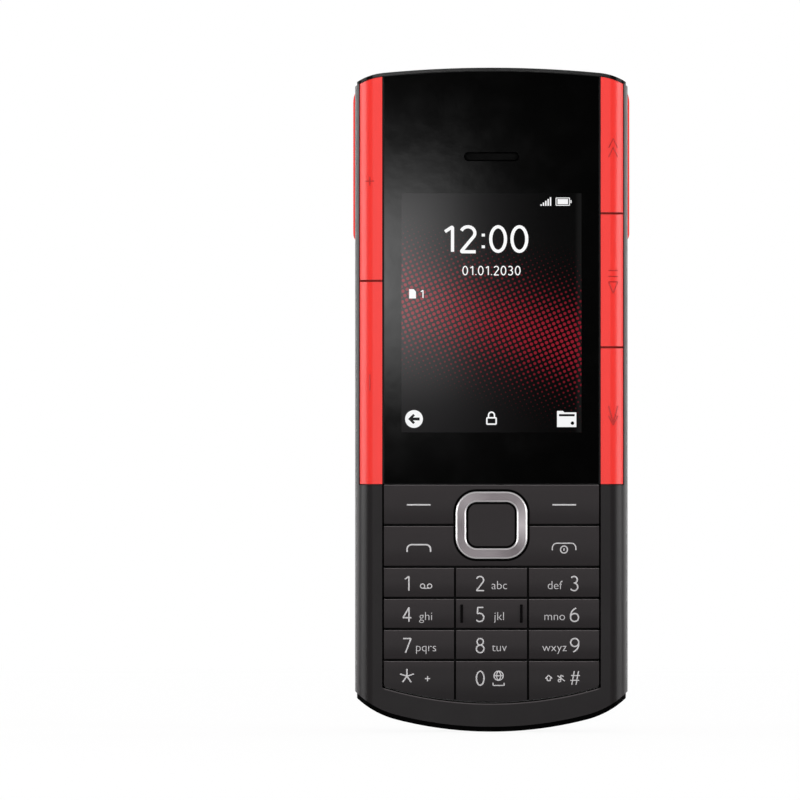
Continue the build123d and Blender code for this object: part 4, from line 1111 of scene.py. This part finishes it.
hash_sign = number("sign", "#", DIGIT_X[2] - 0.05, low_base + 0.1, 2.9, 0.22)
arrow = (
    *[(11.38, 10.45), (11.38, 10.9), (11.02, 10.9), (11.7, 11.55)],
    *[(12.38, 10.9), (12.02, 10.9), (12.02, 10.45)],
)
tune = [
    arc(13.9, 10.45, 0.26, 0, 360, 12),
    [(14.16, 10.45), (14.16, 11.55), (14.75, 11.3)],
    [(13.5, 11.45), (15.0, 10.35)],
]
legend("hash", "key_hash", hash_sign, strokes("arrow", [arrow], 0.22), strokes("tune", tune, 0.22))
print("signs on the lowest row, baseline", round(low_base, 2))

# %% Soft key and call key signs
dashes = [[(side * 12.45, 46.4), (side * 17.3, 46.4)] for side in (-1, 1)]
legend("soft_keys", "soft_key_bar", strokes("dashes", dashes, 0.33))


def handset_sign(middle, low, high, half=2.4, corner=0.95):
    """A receiver seen from the side: a low arch with rounded shoulders."""
    left = arc(middle - half + corner, high - corner, corner, 180, 90)
    right = arc(middle + half - corner, high - corner, corner, 90, 0)
    return [(middle - half, low), *left, *right, (middle + half, low)]


call = [handset_sign(-14.87, 36.75, 38.25)]
power = [arc(14.83, 37.25, 0.72, 0, 360, 20), [(14.83, 37.0), (14.83, 37.5)]]
end = [handset_sign(14.85, 37.1, 38.55), *power]
legend("call_keys", "call_key_bar", strokes("call", call, 0.32), strokes("end", end, 0.24))
print("soft and call signs placed")

# %% [markdown]
# ## Marks on the side keys
#
# The side keys are found by touch, so their marks are moulded, not printed: a low raised line in the
# same red, coloured a darker red as painted shade for its edges. They are general signs: plus and
# minus for the volume, two arrows for the next and the previous piece of music, and a triangle with
# two bars for play and pause.

# %% Raised marks
MARK_X, MARK_WIDTH, MARK_RISE = 24.9, 0.24, 0.03
SIGN_HALF = 0.95
# painted shade: the raised marks are a darker red than the keys
mark_red_painted_shade = painted("mark_red_painted_shade", light(148, 16, 13), 0.45)


def dense(line, step=0.2):
    """Adds points along a line, so that it can follow a curved key."""
    closed = isinstance(line, tuple)
    points = [Vector(point) for point in line]
    filled = []
    for start, end in zip(points, points[1:] + points[:1] if closed else points[1:]):
        count = max(1, round((end - start).length / step))
        filled += [tuple(start.lerp(end, i / count)) for i in range(count)]
    return tuple(filled) if closed else filled + [line[-1]]


def raised_mark(name, node, *lines):
    """A sign moulded on a side key, which follows the key's curved face."""
    drawing = strokes(name, [dense(line) for line in lines], MARK_WIDTH, 0.45)
    drape(piece(name, [drawing], node, mark_red_painted_shade), node, MARK_RISE)


def bar(x, z, half):
    return [(x - half, z), (x + half, z)]


def arrowhead(z, rise):
    return [(MARK_X - SIGN_HALF, z), (MARK_X, z + rise), (MARK_X + SIGN_HALF, z)]


upright_bar = [(-MARK_X, 111.7), (-MARK_X, 113.5)]
raised_mark("mark_plus", "volume_up_key", bar(-MARK_X, 112.6, 0.9), upright_bar)
raised_mark("mark_minus", "volume_down_key", [(-MARK_X, 69.8), (-MARK_X, 73.1)])
raised_mark("mark_previous", "previous_key", arrowhead(117.5, 2.0), arrowhead(119.4, 1.9))
pause = [bar(MARK_X, z, SIGN_HALF) for z in (93.1, 94.3)]
raised_mark("mark_play", "play_key", tuple(arrowhead(92.0, 89.7 - 92.0)), *pause)
raised_mark("mark_next", "next_key", arrowhead(66.6, -3.4), arrowhead(64.6, -1.9))
print("five raised marks")

# %% [markdown]
# ## The lit display
#
# The display lies under the window, but black glass hides everything that is not lit, so the picture
# is laid on the glass as a film of light. Its wallpaper is a plain field of slanted dots that grow
# towards the middle and fade to the edges. A dot field needs only arithmetic: the place is turned,
# cut into cells, and the distance from the middle of each cell says whether there is a dot.

# %% Wallpaper of dots
TILT, DOT_PITCH = radians(24), 0.98
BAND_Z, BAND_REACH = 84.0, 15.0
picture = Finish("display_picture", light(1, 1, 1), GLASS_BLUR, specular_ior_level=GLASS_SHEEN)
x, _, z = picture.axes()
along = (x * cos(TILT) + z * sin(TILT)) * (1 / DOT_PITCH)
across = (z * cos(TILT) - x * sin(TILT)) * (1 / DOT_PITCH)
from_dot = diagonal(*[axis.maths("FRACT") - 0.5 for axis in (along, across)])
band = (z + x * 0.25 - BAND_Z) * (1 / BAND_REACH)
glow = (band * band * -1).maths("EXPONENT")
dots = (glow * 0.38 - from_dot).smooth(-0.04, 0.08)
red_light = picture.mix(glow, light(50, 13, 20), light(140, 25, 41))
# a faint backlight glow; its rise to the left is a painted reflection of the window's patch
veil_painted_sheen = picture.mix(x.smooth(-20, 14), light(28, 27, 28), light(3, 3, 3))
veil_painted_sheen = picture.mix(x.smooth(16.9, 18.0), veil_painted_sheen, light(20, 20, 20))
picture.feed("Emission Color", picture.mix(dots * glow, veil_painted_sheen, red_light))
picture.shader.inputs["Emission Strength"].default_value = 1.0
print("dot pitch", DOT_PITCH, "mm")

# %% The film that carries the picture
FILM = 0.02
left, low, right, high = -18.4, 61.2, 18.4, 110.1
bm = bmesh.new()
bmesh.ops.create_grid(bm, x_segments=1, y_segments=1, size=0.5)
bmesh.ops.scale(bm, vec=((right - left) * MM, (high - low) * MM, 1), verts=bm.verts)
bmesh.ops.rotate(bm, verts=bm.verts, matrix=Matrix.Rotation(radians(90), 3, "X"))
film_middle = Vector(((left + right) / 2, glass_mm - FILM, (low + high) / 2)) * MM
bmesh.ops.translate(bm, verts=bm.verts, vec=film_middle)
bmesh.ops.solidify(bm, geom=bm.faces[:], thickness=FILM * MM)
piece("display_picture", [mesh_from(bm, "film")], "handset", picture)
print("display", right - left, "by", round(high - low, 1), "mm")

# %% [markdown]
# ## What the display says
#
# A clock in plain numbers, a date in numbers, and small general signs for signal, battery, card and
# keys. They are bright and flat, so each is a thin mesh with a white emission, a hair in front of
# the wallpaper. A faint falloff towards the corners is what a real backlight does.

# %% Clock and date
SIGN_RISE = 0.035
screen_white = Finish("screen_white", light(20, 20, 20), 0.3, specular_ior_level=GLASS_SHEEN)
x, _, z = screen_white.axes()
falloff = (x * x * 0.4 + (z - 86) * (z - 86)).smooth(0, 1200)
sign_light = screen_white.mix(falloff, light(252, 252, 252), light(236, 236, 238))
screen_white.feed("Emission Color", sign_light)
screen_white.shader.inputs["Emission Strength"].default_value = 1.0


def on_screen(name, *meshes):
    """A lit sign in front of the wallpaper."""
    for mesh in meshes:
        mesh.transform(Matrix.Translation((0, (glass_mm - SIGN_RISE) * MM, 0)))
    piece(f"screen_{name}", meshes, "handset", screen_white)


FLAT = 0.03  # share of its depth that a pressed stroke keeps
on_screen("clock", number("clock", "12:00", -1.25, 98.15, 5.2, 0.66, FLAT, spacing=0.19, wide=1.1))
on_screen("date", number("date", "01.01.2030", 0, 93.4, 1.8, 0.22, FLAT, spacing=0.24))
print("clock and date placed")

# %% Status and soft key signs
bars = [[(10.15 + 0.48 * i, 107.55), (10.15 + 0.48 * i, 107.85 + 0.36 * i)] for i in range(5)]
cell = ((13.2, 107.65), (15.95, 107.65), (15.95, 109.15), (13.2, 109.15))
on_screen(
    "status",
    strokes("bars", bars, 0.29, 0.05),
    strokes("cell", [cell], 0.16, 0.05),
    strokes("charge", [[(13.5, 108.4), (15.65, 108.4)]], 1.05, 0.02),
    strokes("tip", [[(16.25, 108.1), (16.25, 108.7)]], 0.22, 0.05),
)
card = [(-16.85, 88.6), (-15.45, 88.6), (-15.45, 90.0), (-15.9, 90.5), (-16.85, 90.5)]
card_number = number("card_number", "1", -14.2, 88.7, 1.6, 0.22, FLAT)
on_screen("card", cut_out("card", [card]), card_number)

disc = arc(-15.85, 63.95, 1.82, 0, 354, 59)
arrow_hole = [(-17.05, 63.95), (-16.0, 65.0), (-15.65, 64.65), (-16.05, 64.25), (-14.7, 64.25)]
arrow_hole += [(-14.7, 63.65), (-16.05, 63.65), (-15.65, 63.25), (-16.0, 62.9)]
on_screen("shortcut", cut_out("disc", [disc, arrow_hole]))
lock_body = ((-0.95, 62.9), (0.95, 62.9), (0.95, 64.2), (-0.95, 64.2))
shackle = [(-0.6, 64.2), *arc(0, 64.75, 0.6, 180, 0), (0.6, 64.2)]
on_screen("lock", strokes("lock", [lock_body, shackle], 0.3, 0.05))
wallet = [(13.4, 62.3), (17.35, 62.3), (17.35, 65.3), (14.85, 65.3), (14.65, 65.6), (13.4, 65.6)]
slot = [(13.8, 64.5), (17.0, 64.5), (17.0, 64.95), (13.8, 64.95)]
on_screen("wallet", cut_out("wallet", [wallet, slot, arc(16.55, 63.1, 0.36, 0, 345, 23)]))
print("status and soft key signs placed")

# %% [markdown]
# ## Floor and world
#
# A plain studio has a pale floor and a white surround. The surround is white only for the camera and
# for mirrors, so it doesn't flood the phone. The floor is mostly white for them too, and the rest of
# it is paper, which keeps the phone's shadow.

# %% Build the studio
def white_where_seen(tree, output_kind, white, plain, share):
    """Shows white to the camera and to mirrors, as far as share says, and plain light to the rest."""
    tree.nodes.clear()
    wiring = Wiring(tree)
    rays = [
        wiring.node("ShaderNodeLightPath", {}, [], ray)
        for ray in ("Is Camera Ray", "Is Glossy Ray", "Is Transmission Ray")
    ]
    seen = (rays[0] | rays[1] | rays[2]) * share
    plain_light, white_light = (wiring.node(kind, {}, values) for kind, values in (plain, white))
    shown = wiring.node("ShaderNodeMixShader", {}, [seen, plain_light, white_light])
    wiring.node(output_kind, {}, {"Surface": shown})


WHITE, PAPER = (1, 1, 1, 1), (0.9, 0.9, 0.9, 1)
AMBIENT, FLOOR_HALF = 0.2, 0.7
world = bpy.data.worlds.new("studio")
scene.world = world
world.use_nodes = True
white_where_seen(
    world.node_tree,
    "ShaderNodeOutputWorld",
    white=("ShaderNodeBackground", {"Color": WHITE, "Strength": 1.0}),
    plain=("ShaderNodeBackground", {"Color": WHITE, "Strength": AMBIENT}),
    share=1.0,
)

bm = bmesh.new()
bmesh.ops.create_grid(bm, x_segments=2, y_segments=2, size=FLOOR_HALF)
floor = bpy.data.objects.new("floor", mesh_from(bm, "floor"))
scene.collection.objects.link(floor)
floor_finish = bpy.data.materials.new("floor")
floor_finish.use_nodes = True
white_where_seen(
    floor_finish.node_tree,
    "ShaderNodeOutputMaterial",
    white=("ShaderNodeEmission", {"Color": WHITE}),
    plain=("ShaderNodeBsdfDiffuse", {"Color": PAPER}),
    share=0.9,
)
floor.data.materials.append(floor_finish)
print("floor and world ready")

# %% [markdown]
# ## Lamps
#
# Two tall lamps stand well to the sides, so the flat face stays dark and the light gathers in a band
# along each rolled edge. A wide lamp above shades each key from its upper to its lower edge, and the
# same set stands behind. A small light far behind the camera gives the window its soft patch. Lamps
# are set by radiance, how bright they look, because that is what a glossy surface repeats. The patch
# on the window fades because three lamps of growing size lie over each other.

# %% Soft lamps
PHONE_MIDDLE = Vector((0, 0, 0.07))


def softbox(name, azimuth, elevation, distance, width, height, radiance):
    """A soft lamp aimed at the phone. Azimuth 0 is in front, 90 on the right, 180 behind."""
    lamp = bpy.data.lights.new(name, "AREA")
    lamp.shape, lamp.size, lamp.size_y = "RECTANGLE", width, height
    lamp.energy = radiance * pi * width * height
    made = bpy.data.objects.new(name, lamp)
    scene.collection.objects.link(made)
    turn, tilt = radians(azimuth), radians(elevation)
    towards = Vector((sin(turn) * cos(tilt), -cos(turn) * cos(tilt), sin(tilt)))
    made.location = PHONE_MIDDLE + towards * distance
    made.rotation_euler = towards.to_track_quat("Z", "Y").to_euler()
    made.visible_camera = False


lamps = []  # name, azimuth, elevation, distance, width, height and radiance
for side, turn in (("left", -1), ("right", 1)):
    lamps.append((f"front_{side}", turn * 61, 5, 1.2, 0.8, 0.7, 10.6))
    lamps.append((f"back_{side}", turn * 116, 12, 1.2, 0.5, 1.3, 4.0))
    lamps.append((f"back_band_{side}", turn * 142, 8, 1.4, 0.1, 1.0, 9.0))
lamps.append(("front_high", 0, 27, 1.6, 1.2, 0.42, 3.4))
lamps.append(("back_high", 180, 33, 1.6, 1.2, 0.5, 3.2))
for step in (1, 2, 3):
    lamps.append((f"window_sheen_{step}", -1.8 + 0.19 * step, 0.7, 6.2, 0.3, 0.045 * step, 68.0))
for lamp in lamps:
    softbox(*lamp)
print(len(lamps), "lamps")

# %% [markdown]
# ## Close
#
# Every piece already rides on the body that carries it. The last line sets the standard view
# transform.

# %% View transform
scene.view_settings.view_transform = "Standard"
